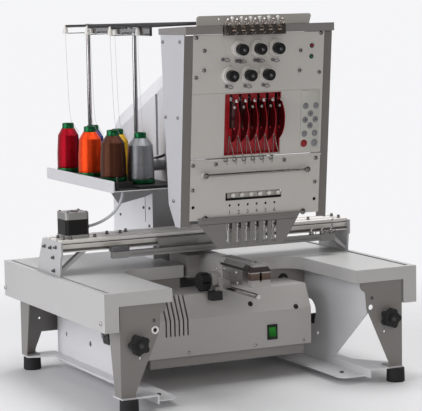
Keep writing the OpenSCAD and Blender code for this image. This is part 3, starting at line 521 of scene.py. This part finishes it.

# Free arm, needle plate, hook and the knob under the arm.
# The arm is painted casting; its end is folded, polished steel, its warm reflections and highlight lines
# painted on as bands of colour by height.
arm_coat, tree, shader, coords = start_finish("arm_finish", 0.3)
BARE_BEFORE = -0.128
bare = calc(tree, "LESS_THAN", along(tree, coords, 1), BARE_BEFORE)
grain = cloudy(tree, coords, 160, 3, (1, 0.1, 1))
paint = tone(tree, (0.27, 0.26, 0.25), (0.31, 0.30, 0.29), grain)
mirror = tone(tree, (0.24, 0.23, 0.22), (0.38, 0.365, 0.35), grain)
tree.links.new(tone(tree, paint, mirror, bare), shader.inputs["Base Color"])
tree.links.new(calc(tree, "MULTIPLY", bare, 0.7), shader.inputs["Metallic"])
tree.links.new(calc(tree, "MULTIPLY_ADD", bare, -0.12, 0.38), shader.inputs["Roughness"])
relief(tree, shader, grain, 0.00004, 0.0008)
dress(arm_coat, "lower_arm")
block = [(0.6, 0), (0, 0.6), (0, 18.4), (0.6, 19)]
holder = rounded_plate(25.4, 19, 1.6, block, (-36, -115.6, 187), X_AXIS, Z_AXIS)
make("holder_block", [holder], black_plastic, "frame")
polished = plated("polished_steel", (0.20, 0.168, 0.146), 0.12, (1, 9, 1))
dress(polished, "rotary_hook")
ARM_FOOT, ARM_TALL = 0.222, 0.043
# Colour bands up the needle plate's front, by height: painted reflections and painted highlight lines of the
# polished steel, with the dark hook cover near the top.
REFLECTION_BANDS = ((0.0, (0.40, 0.385, 0.37)), (0.24, (0.34, 0.325, 0.31)), (0.28, (0.085, 0.055, 0.042)),
         (0.575, (0.13, 0.085, 0.068)), (0.60, (0.45, 0.43, 0.41)), (0.62, (0.40, 0.385, 0.37)),
         (0.645, (0.032, 0.021, 0.017)), (0.87, (0.045, 0.035, 0.03)), (0.91, (0.42, 0.405, 0.39)),
         (1.0, (0.30, 0.29, 0.28)))
reflection_band_finish, tree, shader, coords = start_finish("needle_plate_painted_reflections", 0.16, 0.35)
ramp = tree.nodes.new("ShaderNodeValToRGB")
for at, colour in REFLECTION_BANDS[1:-1]:
    ramp.color_ramp.elements.new(at).color = (*colour, 1)
ramp.color_ramp.elements[0].color = (*REFLECTION_BANDS[0][1], 1)
ramp.color_ramp.elements[-1].color = (*REFLECTION_BANDS[-1][1], 1)
rise = calc(tree, "MULTIPLY_ADD", along(tree, coords, 2), 1/ARM_TALL, -ARM_FOOT/ARM_TALL)
tree.links.new(rise, ramp.inputs[0])
tree.links.new(ramp.outputs[0], shader.inputs["Base Color"])
relief(tree, shader, cloudy(tree, coords, 420, 3, (1, 9, 1)), 0.00002, 0.0006)
dress(reflection_band_finish, "needle_plate")
dress(black_plastic, "hand_knob")
sleeve = [[5.3, 0], [5.3, 142], [4.6, 145], [5.4, 146], [5.4, 149.4], [4.4, 150.4], [0.1, 150.4]]
pin_sleeve = turned(sleeve, (-14, -125, 203), TO_FRONT, 28)
make("frame_pin_sleeve", [pin_sleeve], plated("pin_steel", (0.62, 0.60, 0.585), 0.10), "frame")
ARM_SCREWS = ((-91.2, 234.1), (-102.8, 237.7), (-137.2, 242.6), (-189.7, 241.6), (-194.5, 220.8))
arm_screws = [screw((s*20, y, z), (s, 0, 0), 3.0) for s in (-1, 1) for y, z in ARM_SCREWS]
make("arm_screws", arm_screws, bright_zinc, "frame")
# A black plate on the floor of the slot in the arm's side: painted shade in the groove.
slot_shade = [rounded_plate(109, 4.6, 0.5, [(0, 0), (0, 0.4)], (-18, -171, 251.5), TO_FRONT, Z_AXIS)]
make("arm_slot_shade", slot_shade, rubber, "frame")
make("plate_screws", [screw((x, y, 265), Z_AXIS, 2.4) for x, y in ((-7, -222), (7, -222), (0, -118))],
     dark_zinc, "frame")

# Gantry: brackets of thick aluminium, an extruded cross beam with grooves, and its stepper motor.
# The extrusion shows draw lines along its length; bolts hold it to the brackets.
GROOVES = ((0.2905, 0.0022), (0.3035, 0.0012))


def groove_shade(tree, coords):
    """1 in the extrusion's grooves, painted dark as shade: a band of half a width on each side of a height.
    """
    level_z = along(tree, coords, 2)
    stripes = []
    for height, half in GROOVES:
        away = calc(tree, "ABSOLUTE", calc(tree, "SUBTRACT", level_z, height))
        stripes.append(calc(tree, "LESS_THAN", away, half))
    return calc(tree, "MAXIMUM", *stripes)


BRUSHED_SHARE = 0.45
# The beam's grooves are painted dark as shade.
extruded = plated("extruded_aluminium", (0.86, 0.84, 0.80), 0.42, (0.02, 1, 1), groove_shade)
milled = plated("milled_aluminium", (0.36, 0.355, 0.35), 0.4, (1, 0.2, 1))
extruded.node_tree.nodes["Principled BSDF"].inputs["Metallic"].default_value = BRUSHED_SHARE
dress(extruded, "x_beam")
dress(powder_coat("bracket_coat", (0.47, 0.47, 0.475)), "gantry_bracket_left", "gantry_bracket_right")
dress(milled, "x_carriage", "hoop_bar")


def socket_bolt(place, axis, r):
    """Tall cylinder head of radius r on a washer, with a socket sunk in its end."""
    rows = [[1.5*r, -0.3], [1.5*r, 0.9], [r, 1.0], [r, 1.9*r], [0.9*r, 2.1*r], [0.5*r, 2.1*r],
            [0.46*r, 1.2*r], [0.02, 1.1*r]]
    return turned(rows, place, axis, 16)


TOP_BOLTS = ((-322, 18), (-322, -12), (-308, -18), (-250, -6), (-210, 24), (-182, 20), (-162, 37),
             (322, 18), (322, -12), (250, -6), (205, 24), (170, 20))
bolts = [socket_bolt((x, y, 311), Z_AXIS, 3.0) for x, y in TOP_BOLTS]
BRACKET_BOLTS = ((51.4, 292), (18.4, 292.7), (-8.9, 296), (5.0, 273.8), (2.8, 247))
bolts += [socket_bolt((s*337, y, z), (s, 0, 0), 2.8) for s in (-1, 1) for y, z in BRACKET_BOLTS]
make("beam_bolts", bolts, dark_zinc, "gantry")
motor_finish, tree, shader, coords = start_finish("motor_finish", 0.36)
shader.inputs["Specular IOR Level"].default_value = LOW_GLINT
level_z = along(tree, coords, 2)
BAND_LOW, BAND_HIGH = 0.3182, 0.3498
over_low = calc(tree, "GREATER_THAN", level_z, BAND_LOW)
body_band = calc(tree, "MULTIPLY", over_low, calc(tree, "LESS_THAN", level_z, BAND_HIGH))
grain = cloudy(tree, coords, 240, 3, (1, 1, 12))
metal = tone(tree, (0.26, 0.255, 0.25), (0.46, 0.45, 0.44), grain)
tree.links.new(tone(tree, metal, (0.009, 0.008, 0.008), body_band), shader.inputs["Base Color"])
tree.links.new(calc(tree, "MULTIPLY_ADD", body_band, -0.85, 0.9), shader.inputs["Metallic"])
relief(tree, shader, grain, 0.00004, 0.0006)
dress(motor_finish, "x_motor")
MOTOR_X, MOTOR_Y, MOTOR_TOP, BOLT_OUT = -289, 14, 364, 20.5
motor_bolts = [screw((MOTOR_X + sx*BOLT_OUT, MOTOR_Y + sy*BOLT_OUT, MOTOR_TOP), Z_AXIS, 3.0)
               for sx in (-1, 1) for sy in (-1, 1)]
boss = [[11, 0], [11, 1.5], [9.6, 2], [4, 2], [3.6, 1], [0.1, 1]]
motor_bolts.append(turned(boss, (MOTOR_X, MOTOR_Y, MOTOR_TOP), Z_AXIS, 28))
make("motor_bolts", motor_bolts, dark_zinc, "gantry")

# Motor cable: a grey round lead, about 6 mm thick, from under the spool tray to the motor.
# Both ends go into the machine; the lead hangs in one even curve.
lead_from, lead_to = np.array([-196, -30, 405.6]), np.array([MOTOR_X + 26 + 0.8, MOTOR_Y, 331.0])
t = np.linspace(0, 1, 61)[:, None]
lead = ((1 - t)**3*lead_from + 3*(1 - t)**2*t*np.array([-197, -30, 360.0])
        + 3*(1 - t)*t**2*np.array([-230, 8, 333.0]) + t**3*lead_to)
lead_finish = moulding("lead_sheath", (0.42, 0.43, 0.46), 0.42)
cable = make("motor_lead", [wire(lead, 3.0, 14, (0.3, 1, 0))], lead_finish, "frame")
cable.parent = None
del cable["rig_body"]
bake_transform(cable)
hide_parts("motor_cable")
nut = [[5.0, 0], [5.4, 1], [5.4, 6], [4.4, 7.5], [3.3, 9], [3.1, 9]]
make("lead_nut", [turned(nut, (MOTOR_X + 26, MOTOR_Y, 331), (1, 0, 0.02), 12)], black_plastic, "gantry")

# Hoop bar fittings: a dark block at the left end and spring clips with a thumb screw at the right.
# The clips hold the arms of a hoop; they are bent wire and turned steel.
dark_metal = plated("blued_steel", (0.16, 0.16, 0.17), 0.34)
block_rows = [(0.8, 0), (0, 0.8), (0, 9), (0.8, 9.8)]
left_block = rounded_plate(40, 17, 2, block_rows, (-213, -45, 283.4), X_AXIS, Y_AXIS)
make("hoop_stop", [left_block], dark_metal, "carriage")
clips = []
for x in (236, 262, 284):
    clips.append(turned([[5.5, 0], [5.5, 4], [4.6, 4.6], [3, 4.6], [3, 8], [2.2, 8.8], [0.1, 9]],
                        (x, -45, 283.2), Z_AXIS, 18))
    bend = smooth_line([(x - 6, -48, 283), (x - 7, -51, 292), (x - 2, -53, 296), (x + 6, -52, 292),
                        (x + 8, -50, 284)], 30)
    clips.append(wire(bend, 1.0, 8, (0, 1, 0.1)))
stalk = smooth_line([(285, -47, 284), (286, -47, 300), (286.5, -46, 312), (290, -45, 315)], 24)
clips.append(wire(stalk, 1.3, 8, Y_AXIS))
make("hoop_clips", clips, button_zinc, "carriage")

# Spool tray: painted sheet with a turned-up edge; black rubber matting lies on it.
# The edge stays light, the floor and the pads are matt black.
SHEET_TOP, EDGE_INSIDE = 0.4081, -0.2272


def tray_floor(tree, coords):
    """1 above the sheet and inside the turned-up edge."""
    return calc(tree, "MULTIPLY", calc(tree, "GREATER_THAN", along(tree, coords, 2), SHEET_TOP),
                calc(tree, "GREATER_THAN", along(tree, coords, 0), EDGE_INSIDE))


dress(powder_coat("tray_coat", (0.62, 0.62, 0.64), (0.012, 0.011, 0.011), tray_floor, 0.5), "spool_tray")
GUSSET = ((-177, 405.5), (-165, 386), (-149, 361), (-87, 373), (-69.2, 379), (-69.2, 405.5))
gusset = np.array([[(x, y, z) for x, z in GUSSET] for y in (99.6, 102)])*MM
make("tray_gusset", [gusset], column_coat, "frame")

# Thread stand: chrome posts and bar, white funnel eyelets over the cones, black thread tubes.
# The eyelets are glazed; the tubes run to the head's lid.
chrome = plated("chrome", (0.30, 0.30, 0.305), 0.12)
dress(chrome, "thread_stand")
glaze = moulding("white_glaze", (0.66, 0.645, 0.61), 0.2, 90, 0.00002)
CONE_X, CONE_Y = (-198, -198, -198, -140, -140, -140), (250, 130, 10, 250, 118, 2)
GUIDE_Z = 718.0
funnel = [[4.3, 0.6], [6.6, 0.4], [6.5, 1.2], [2.95, 19.2], [1.0, 19.4]]
make("thread_eyelets", [turned(funnel, (x, y, GUIDE_Z + 0.4), Z_AXIS, 20) for x, y in zip(CONE_X, CONE_Y)],
     glaze, "frame")
tubes = []
for i, (x, y) in enumerate(zip(CONE_X, CONE_Y)):
    tube_end = np.array([-90 + 12*i, -262.4, GUIDE_Z + 30])
    tubes.append(wire(np.linspace(np.array([x, y, GUIDE_Z + 17.5]), tube_end, 40), 2.25, 12))
bundle = make("thread_tubes", tubes, moulding("tube_black", (0.02, 0.02, 0.021), 0.3), "frame")
bundle.parent = None
del bundle["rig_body"]
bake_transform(bundle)

# Thread cones: cross-wound polyester on green plastic cores; six colours.
# The winding shows as fine crossing lines; foot and neck of the core stand out of it.
CONE_COLOURS = ((0.30, 0.003, 0.012), (0.74, 0.058, 0.009), (0.070, 0.025, 0.014),
                (0.012, 0.030, 0.19), (0.68, 0.40, 0.010), (0.235, 0.24, 0.254))
LAY, STARTS, CORE_FOOT, CORE_NECK = 0.0016, 9.0, 0.0092, 0.0938


def wound(name, colour, x, y, foot):
    """Crossing helices: the larger of sin(kz + na) and sin(kz - na), a being the turn round the axis."""
    material, tree, shader, coords = start_finish(name, 0.3, 0.92)
    shader.inputs["Anisotropic"].default_value = 0.75
    grain = tree.nodes.new("ShaderNodeTangent")
    grain.direction_type, grain.axis = "RADIAL", "Z"
    tree.links.new(grain.outputs[0], shader.inputs["Tangent"])
    px = calc(tree, "SUBTRACT", along(tree, coords, 0), x*MM)
    py = calc(tree, "SUBTRACT", along(tree, coords, 1), y*MM)
    z = calc(tree, "SUBTRACT", along(tree, coords, 2), foot*MM)
    turn = calc(tree, "ARCTAN2", py, px)
    rise = calc(tree, "MULTIPLY", z, 2*math.pi/LAY)
    one = calc(tree, "SINE", calc(tree, "MULTIPLY_ADD", turn, STARTS, rise))
    two = calc(tree, "SINE", calc(tree, "MULTIPLY_ADD", turn, -STARTS, rise))
    lines = calc(tree, "MULTIPLY_ADD", calc(tree, "MAXIMUM", one, two), 0.5, 0.5)
    bands = cloudy(tree, coords, 60, 2, (0.3, 0.3, 3))
    weave = calc(tree, "MULTIPLY_ADD", bands, 0.5, calc(tree, "MULTIPLY", lines, 0.5))
    yarn = tone(tree, scaled(colour, 0.62), scaled(colour, 1.15), weave)
    foot_end = calc(tree, "LESS_THAN", z, CORE_FOOT)
    core = calc(tree, "MAXIMUM", foot_end, calc(tree, "GREATER_THAN", z, CORE_NECK))
    tree.links.new(tone(tree, yarn, (0.006, 0.075, 0.025), core), shader.inputs["Base Color"])
    depth = calc(tree, "MULTIPLY", lines, calc(tree, "SUBTRACT", 1.0, core))
    relief(tree, shader, depth, 0.00035)
    return material


CONE_SIDES, CONE_SWELL, WAVE_RISE, WAVE_TURNS = 96, 0.16, 2.3, 5


def cone_shape(x, y, foot, d, flange):
    """Turned profile with a wound middle: there the larger of two crossing helix waves swells the radius."""
    h = CONE_TALL
    body = np.linspace(9.6, 0.9*h, 231)
    taper = np.interp(body, [9.6, 12, 0.4*h, 0.755*h, 0.9*h], [d/2 - 0.8, d/2, d/2 - 0.2, d/2 - 2.6, 13.4])
    turn = np.linspace(0, 2*np.pi, CONE_SIDES, endpoint=False)
    rise = 2*np.pi*body[:, None]/WAVE_RISE
    wave = np.maximum(np.sin(rise + WAVE_TURNS*turn), np.sin(rise - WAVE_TURNS*turn))
    swell = np.interp(body, [9.6, 12, 0.88*h, 0.9*h], [0, 1, 1, 0])[:, None]
    below = np.array([[4.6, 0.2], [flange/2 - 0.5, 0], [flange/2, 0.6], [flange/2, 3], [d/2 + 0.6, 9]])
    over = np.array([[12.7, 0.9*h], [12.4, h - 1], [11.6, h], [9.6, h], [9.0, h - 0.8], [8.4, h - 14]])
    middle = taper[:, None] + CONE_SWELL*swell*wave
    r = np.vstack([np.repeat(below[:, :1], CONE_SIDES, 1), middle, np.repeat(over[:, :1], CONE_SIDES, 1)])
    z = np.concatenate([below[:, 1], body, over[:, 1]])[:, None] + foot + 0*r
    return np.stack([x + r*np.cos(turn), y + r*np.sin(turn), z], -1)*MM


CONE_TALL, CONE_WIDE, FLANGES = 105.0, (49, 51, 53, 50, 50, 56), (52, 54, 54, 53, 53, 58)
for i, (x, y, colour) in enumerate(zip(CONE_X, CONE_Y, CONE_COLOURS)):
    foot = 406 + SHEET + (13 if i < 3 else 5.5)
    finish = wound("wound_%d" % (i + 1), colour, x, y, foot)
    rings = cone_shape(x, y, foot, CONE_WIDE[i], FLANGES[i])
    cone = make("cone_%d" % (i + 1), [rings], finish, "frame")
    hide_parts("thread_cone_%d" % (i + 1))
    strand = smooth_line([(x + 23, y - 6, foot + 84), (x + 13, y - 3, foot + 100), (x + 5, y, foot + 130),
                          (x, y, GUIDE_Z - 30), (x, y, GUIDE_Z + 6)], 40)
    strand_finish = moulding("strand_%d" % (i + 1), tuple(0.45 + 0.3*c for c in colour), 0.6, 2500)
    make("strand_%d" % (i + 1), [wire(strand, 0.35, 6, (0, 1, 0.1))], strand_finish, "frame")

# Head box and lid, all painted steel: side walls light; front strips darker paint with painted shade, the lid
# edge darker as painted shade.
# The left wall and the right wall carry button-head screws.
LID_TOP, HEAD_X, HALF_HEAD = 0.7425, -7, 163


def lid_edge_shade(tree, coords):
    """1 on the lid's turned-down edge, painted darker as shade; 0 on its roof and on the upright plate."""
    return calc(tree, "MULTIPLY", calc(tree, "LESS_THAN", along(tree, coords, 2, "Normal"), 0.7),
                calc(tree, "LESS_THAN", along(tree, coords, 2), LID_TOP))


# Front strips darker than the side walls: darker paint together with painted shade.
dress(powder_coat("head_coat", (0.49, 0.49, 0.512), (0.165, 0.155, 0.145), front_shade), "head_frame")
# The lid's turned-down edge is painted darker than its roof: painted shade.
dress(powder_coat("lid_coat", (0.40, 0.385, 0.365), (0.215, 0.205, 0.198), lid_edge_shade), "head_cap")
WALL_SCREWS = ((-183.1, 710.4), (-260.3, 712.2), (-190.1, 563.4), (-244.9, 564.7), (-219.5, 399.9))
wall = [screw((HEAD_X + s*HALF_HEAD, y, z), (s, 0, 0), 3.6) for s in (-1, 1) for y, z in WALL_SCREWS]
make("wall_screws", wall, button_zinc, "head")

# Front panels: warm grey sheet on a lean of 5.2 degrees, with screws, lamps, keys and figures.
# u runs across and v up the panel, both in mm from the head's lower middle.
HEAD = np.array([HEAD_X, -250, 361.0])
lean = math.radians(5.2)
ACROSS, UP = np.array([1.0, 0, 0]), np.array([0, -math.sin(lean), math.cos(lean)])
OUT = np.cross(ACROSS, UP)


def panel(u, v, out=0.0):
    """Place on the leaning panel."""
    return HEAD + u*ACROSS + v*UP + out*OUT


panel_coat = powder_coat("panel_coat", PANEL_GREY, roughness=0.4)
dress(panel_coat, "front_panel", "lower_panel")
PANEL_SCREWS = ((-138.4, 360.1), (-120.6, 334.5), (-120.7, 296.6), (-137.5, 282.7), (136.4, 361.8),
                (91.2, 328.5), (90.4, 288.7), (134.9, 284.0), (-139.8, 110.3), (-139.6, 61.4),
                (134.1, 110.4), (133.5, 62.1), (-90.0, 110.5), (61.7, 110.5))
make("panel_screws", [screw(panel(u, v), OUT, 4.0) for u, v in PANEL_SCREWS], button_zinc, "head")
ROD_ENDS = ((-117, 91, 12.5), (109, 91, 12.5), (-111, 3, 0.2), (107.7, 3, 0.2))
rod_end = [[5.8, -0.4], [6.2, 1.4], [5.6, 3], [3.2, 3.6], [2.8, 2.4], [0.1, 2.2]]
ends = [turned(rod_end, panel(u, v, out), OUT, 18) for u, v, out in ROD_ENDS]
make("rod_ends", ends, button_zinc, "head")
rod = np.linspace(panel(-116.5, 91, 9), panel(108.5, 91, 9), 8)
make("rod_cover", [wire(rod, 2.65, 16)], plated("rod_steel", (0.30, 0.28, 0.265), 0.2), "head")
shadow = moulding("painted_shadow_black", (0.006, 0.006, 0.006), 0.8)
# Black discs sunk in the two panel holes: painted shadow inside them; the black material serves every painted
# shadow below.
hole = [[3.4, -0.5], [3.4, 0.15], [0.1, 0.15]]
panel_hole_shadows = [turned(hole, panel(u, v), OUT, 18) for u, v in ((-137.8, 27.1), (133.5, 27.3))]
make("panel_hole_shadows", panel_hole_shadows, shadow, "head")
RED_LAMP, GREEN_LAMP = (116.4, 337.6), (116.1, 316.1)
bezel = [[4.6, 0], [4.6, 1.2], [3.9, 1.8], [3.2, 1.4], [3.1, 0.3], [0.1, 0.2]]
bezels = [turned(bezel, panel(u, v), OUT, 24) for u, v in (RED_LAMP, GREEN_LAMP)]
make("lamp_rims", bezels, black_plastic, "head")
dome = [[2.9, 0], [2.9, 1.2], [2.5, 2.4], [1.5, 3.2], [0.1, 3.5]]
red_lens = moulding("lamp_red", (0.25, 0.010, 0.012), 0.12)
green_lens = moulding("lamp_green", (0.012, 0.13, 0.05), 0.12)
make("lamp_red", [turned(dome, panel(*RED_LAMP), OUT, 18)], red_lens, "head")
make("lamp_green", [turned(dome, panel(*GREEN_LAMP), OUT, 18)], green_lens, "head")

# Keypad: a printed membrane on the panel with raised round keys.
# Nine keys are grey and the stop key is red.
pad_finish = powder_coat("keypad_film", (0.475, 0.47, 0.43), roughness=0.3)
film = rounded_plate(42.5, 119, 3, [(0, 0), (0, 0.5), (0.4, 0.8)], panel(117.5, 188.5), ACROSS, UP)
make("keypad", [film], pad_finish, "head")
KEYS = ((106.7, 217.2), (130.2, 217.3), (118.0, 201.4), (106.4, 189.2), (129.5, 189.5), (117.8, 177.4),
        (105.6, 161.2), (128.9, 161.6))
key = [[6.5, 0.6], [6.5, 1.0], [6.1, 1.5], [4.5, 1.9], [0.1, 2.0]]
grey_key = moulding("key_grey", (0.185, 0.185, 0.195), 0.4)
keys = [turned(key, panel(u, v), OUT, 28) for u, v in KEYS]
LARGER = 1.17
large_key = [[LARGER*r, h] for r, h in key]
keys.append(turned(large_key, panel(128.8, 142.1), OUT, 28))
make("keys", keys, grey_key, "head")
red_key = moulding("key_red", (0.24, 0.006, 0.010), 0.3)
make("stop_key", [turned(large_key, panel(105.0, 141.8), OUT, 28)], red_key, "head")
marks = []
for n, (u, v) in enumerate(KEYS[2:6]):
    angle = math.radians((90, 180, 0, 270)[n])
    c, s = math.cos(angle), math.sin(angle)
    arrow = np.array([[2.6, 0], [-1.6, 2.2], [-1.6, -2.2]]) @ np.array([[c, s], [-s, c]])
    marks.append(np.array([[panel(u + a, v + b, h) for a, b in arrow] for h in (1.6, 2.15)])*MM)
make("key_arrows", marks, moulding("print_dark", (0.03, 0.03, 0.035), 0.5), "head")

# Thread tension units: a white disc pair on each post, a black knob, and wire guides below.
# The knobs turn on their stems and press the discs together.
bank, PITCH = -3.0, 20
DISCS = [(bank - 4 + PITCH*(i - 4), 286 if i % 2 else 337) for i in range(1, 7)]
disc = [[15.6, 0.2], [16.6, 1.0], [16.6, 2.2], [15.2, 3.4], [12.2, 4.6], [15.0, 6.2], [16.2, 7.6],
        [16.2, 8.8], [15.2, 9.6], [11.5, 10.2], [3.4, 10.3]]
make("tension_discs", [turned(disc, panel(u, v), OUT, 36) for u, v in DISCS], glaze, "head")
knurl = moulding("knob_black", (0.012, 0.012, 0.013), 0.28)
dress(knurl, *["tension_knob_%d" % i for i in range(1, 7)])
KNOB_R, KNURL_DEEP, KNURLS = 11.0, 0.28, 24
t = np.linspace(0, 2*np.pi, 96, endpoint=False)
rim = KNOB_R + KNURL_DEEP*np.cos(KNURLS*t)
spokes = (rim*np.cos(t))[:, None]*ACROSS + (rim*np.sin(t))[:, None]*UP
rows = [[0.985, 11.2], [1.0, 12.4], [1.0, 23.4], [0.95, 24.6]]
for i, (u, v) in enumerate(DISCS, 1):
    grip = np.array([panel(u, v, h) + k*spokes for k, h in rows])*MM
    top = turned([[3.2, 0], [3.2, 0.7], [2.6, 1.0], [0.1, 1.05]], panel(u, v, 27.4), OUT, 18)
    make("tension_grip_%d" % i, [grip], knurl, "tension_%d" % i, sharp=60)
    make("tension_nut_%d" % i, [top], dark_metal, "tension_%d" % i)
PAIRS = ((-81.0, 316.5), (-51.0, 312.8), (-44.0, 312.8), (-11.0, 313.0), (-4.0, 313.0), (29.0, 312.5),
         (-71.5, 263.4), (-31.0, 263.2), (9.0, 263.3))
hooks = []
for u, v in PAIRS:
    hooks.append(turned([[3.4, -0.3], [3.4, 2.2], [2.4, 3.0], [0.1, 3.0]], panel(u, v), OUT, 14))
    loop = smooth_line([panel(u + 2, v - 1, 2), panel(u + 7, v - 4, 5), panel(u + 12, v - 2, 6.5),
                        panel(u + 9, v + 2, 5), panel(u + 4, v + 1, 3)], 30)
    hooks.append(wire(loop, 0.75, 8, (0, 1, 0.1)))
make("thread_hooks", hooks, dark_metal, "head")
feed = []
for i, (u, v) in enumerate(DISCS):
    run = [panel(-85 + PITCH*i, 372, 30), panel(-82 + PITCH*i, 360, 8), panel(u + 6, v + 16, 5)]
    feed.append(wire(run, 0.3, 6, (1, 0.1, 0)))
make("panel_strands", feed, moulding("pale_strand", (0.55, 0.53, 0.50), 0.6, 2500), "head")

# Front thread guide: a polished block with cups, rings and white glazed beads on top.
# The beads lead the threads from the tubes down to the tension discs.
dress(plated("warm_chrome", (0.34, 0.30, 0.27), 0.12), "front_guide")
bead = [[1.2, -6], [1.6, -1.5], [3.2, 0], [3.6, 1.6], [3.2, 3.2], [1.8, 4.2], [0.1, 4.4]]
beads = [turned(bead, (-75 + PITCH*i, -297, 754.5), Z_AXIS, 16) for i in range(6)]
make("guide_beads", beads, glaze, "head")

# Take-up levers and the red shield: clear red fins stand between the levers.
# The fins' edges are painted bright red as the glow of light through clear red plastic, and their flat sides
# painted nearly black as shade.
shield, tree, shader, coords = start_finish("red_shield", 0.22)
# Painted light: bright red on the fins' edges, nearly black on their flat sides.
shaded_sides = calc(tree, "GREATER_THAN", calc(tree, "ABSOLUTE", along(tree, coords, 0, "Normal")), 0.5)
red = tone(tree, (0.30, 0.005, 0.010), (0.40, 0.010, 0.017), cloudy(tree, coords, 25, 2))
tree.links.new(tone(tree, red, (0.060, 0.002, 0.004), shaded_sides), shader.inputs["Base Color"])
relief(tree, shader, cloudy(tree, coords, 200, 2), 0.00003, 0.0004)
dress(shield, "shield_unit")
lever_steel = plated("lever_steel", (0.60, 0.59, 0.58), 0.18)
dress(lever_steel, *["takeup_lever_%d" % i for i in range(1, 7)])
LEVER_U = [bank + (i - 2.5)*PITCH for i in range(6)]
eye = [[2.2, -1.9], [3.0, -1.6], [3.3, 0], [3.0, 1.6], [2.2, 1.9], [1.2, 1.6], [1.2, -1.6]]
bush = [[2.9, -0.2], [2.9, 1.4], [2.3, 2.2], [1.2, 2.3], [1.0, 0.8], [0.1, 0.8]]
rivet = [[2.4, -0.2], [2.4, 0.5], [1.6, 1.2], [0.1, 1.4]]
for i, u in enumerate(LEVER_U, 1):
    make("lever_eye_%d" % i, [turned(eye, panel(u, 235, 10), X_AXIS, 18)], glaze, "lever_%d" % i)
bushes = [turned(bush, panel(u + 2, 221, -1), TO_LEFT, 18) for u in LEVER_U]
rivets = [turned(rivet, panel(u + 2, 178.5, -1), TO_LEFT, 16) for u in LEVER_U]
# Black plates inside the head behind each lever's slit: painted shade there.
slit_shades = [rounded_plate(34, 70, 1, [(0, 0), (0, 1.2)], panel(u + 2, 212, -31.2), OUT, UP) for u in LEVER_U]
make("lever_guides", slit_shades, shadow, "head")
make("fin_bushes", bushes, glaze, "head")
make("fin_rivets", rivets, moulding("rivet_red", (0.42, 0.02, 0.03), 0.3), "head")
springs = []
for u in LEVER_U:
    limb = smooth_line([panel(u - 8, 128, -5), panel(u - 7, 150, -7), panel(u - 5.5, 163, -8),
                        panel(u - 4, 160, -8), panel(u - 1, 142, -4), panel(u + 2, 124, 1)], 40)
    springs.append(wire(limb, 0.8, 8, (0, 1, 0.1)))
    t = np.linspace(0, 2*np.pi*1.1, 26)
    coil = np.array([panel(u - 18 + 3.6*math.cos(a), 118.5 + 3.6*math.sin(a), 6 - 0.4*a) for a in t])
    tail = np.array([panel(u - 14.4 - 0.2*k, 118.5 - 2.4*k, 6 - 0.1*k) for k in range(1, 5)])
    springs.append(wire(np.vstack([tail[::-1], coil]), 0.8, 8, (0, 1, 0.1)))
    post = [panel(u - 18, 116, -1), panel(u - 18, 115.5, 3), panel(u - 18, 115.2, 6)]
    springs.append(wire(post, 1.0, 8, (1, 0, 0.1)))
make("check_springs", springs, button_zinc, "head")

# Needle field: white thread stops in the slot, figures, the guard and six needle bars.
# The guard is satin sheet; bars, clamps and feet are ground steel.
stop = [[4.4, -0.8], [4.6, 0.4], [3.8, 1.2], [2.0, 1.0], [0.9, 0.4], [0.1, 0.4]]
stops = [turned(stop, panel(-49.6 + 20.1*i, 45.5, -1.2), OUT, 20) for i in range(6)]
make("slot_stops", stops, glaze, "head")
# Black strips at the bottom of the slot and at its left end: painted shadow in the slot.
gap_rows = [(0, -1.6), (0, 0.1)]
slot_shadow = [rounded_plate(124, 4.2, 0.6, gap_rows, panel(bank - 1.5, 38.4), ACROSS, UP),
            rounded_plate(3.2, 15, 0.6, gap_rows, panel(bank - 62.2, 43.6), ACROSS, UP)]
make("slot_shadow", slot_shadow, shadow, "head")
# Black discs sunk in the six sight holes: painted shadow inside them.
sight = [[2.45, -3.2], [2.45, -1.6], [0.1, -1.6]]
sight_hole_shadows = [turned(sight, panel(u - 4, 26), OUT, 18) for u in LEVER_U]
make("sight_hole_shadows", sight_hole_shadows, shadow, "head")
for i in range(6):
    words = bpy.data.curves.new("figure", "FONT")
    words.body = str(i + 1)
    words.size = 11*MM
    words.extrude = 0.08*MM
    words.align_x = "CENTER"
    figure = bpy.data.objects.new("figure", words)
    bpy.context.scene.collection.objects.link(figure)
    bpy.context.view_layer.update()
    shape = bpy.data.meshes.new_from_object(figure.evaluated_get(bpy.context.evaluated_depsgraph_get()))
    spot = panel(-57.1 + 20.05*i, 8.4, 0.1)*MM
    upright_print = np.vstack([np.column_stack([ACROSS, UP, OUT, spot]), [0, 0, 0, 1]])
    shape.transform(Matrix(upright_print.tolist()))
    bpy.data.objects.remove(figure)
    shape.materials.clear()
    shape.materials.append(bpy.data.materials["print_dark"])
    printed = bpy.data.objects.new("figure_%d" % (i + 1), shape)
    bpy.context.scene.collection.objects.link(printed)
    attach(printed, "head")
dress(powder_coat("guard_coat", (0.185, 0.178, 0.168), roughness=0.34), "needle_guard")
ground = plated("ground_steel", (0.56, 0.55, 0.54), 0.16, (1, 1, 0.1))
dress(ground, *["needle_bar_%d" % i for i in range(1, 7)])
# A dark line across the guard under the panel's lower edge: painted shadow along the crease.
crease_shadow = np.linspace(panel(bank - 121, -9, 2.1), panel(bank + 97, -9, 2.1), 12)
make("guard_crease_shadow", [wire(crease_shadow, 0.45, 8)], dark_metal, "head")
# A black sheet inside the head behind the needle bars: painted shade there.
shade_sheet_rows = [(0.5, 0), (0, 0.5), (0, 1.3), (0.5, 1.6)]
shade_sheet = rounded_plate(142, 52, 2, shade_sheet_rows, panel(bank - 4, -3, -27), ACROSS, UP)
make("needle_shade_sheet", [shade_sheet], shadow, "head")

# Upper arm fittings: a black control rod over the shaft cover on the column's left.
# It is a short, plain black rod.
rod_line = smooth_line([(-85, 58, 457), (-85, 40, 461), (-85, 20, 465), (-85, 4, 469)], 16)
make("control_rod", [wire(rod_line, 3.0, 12, X_AXIS)], black_plastic, "frame")
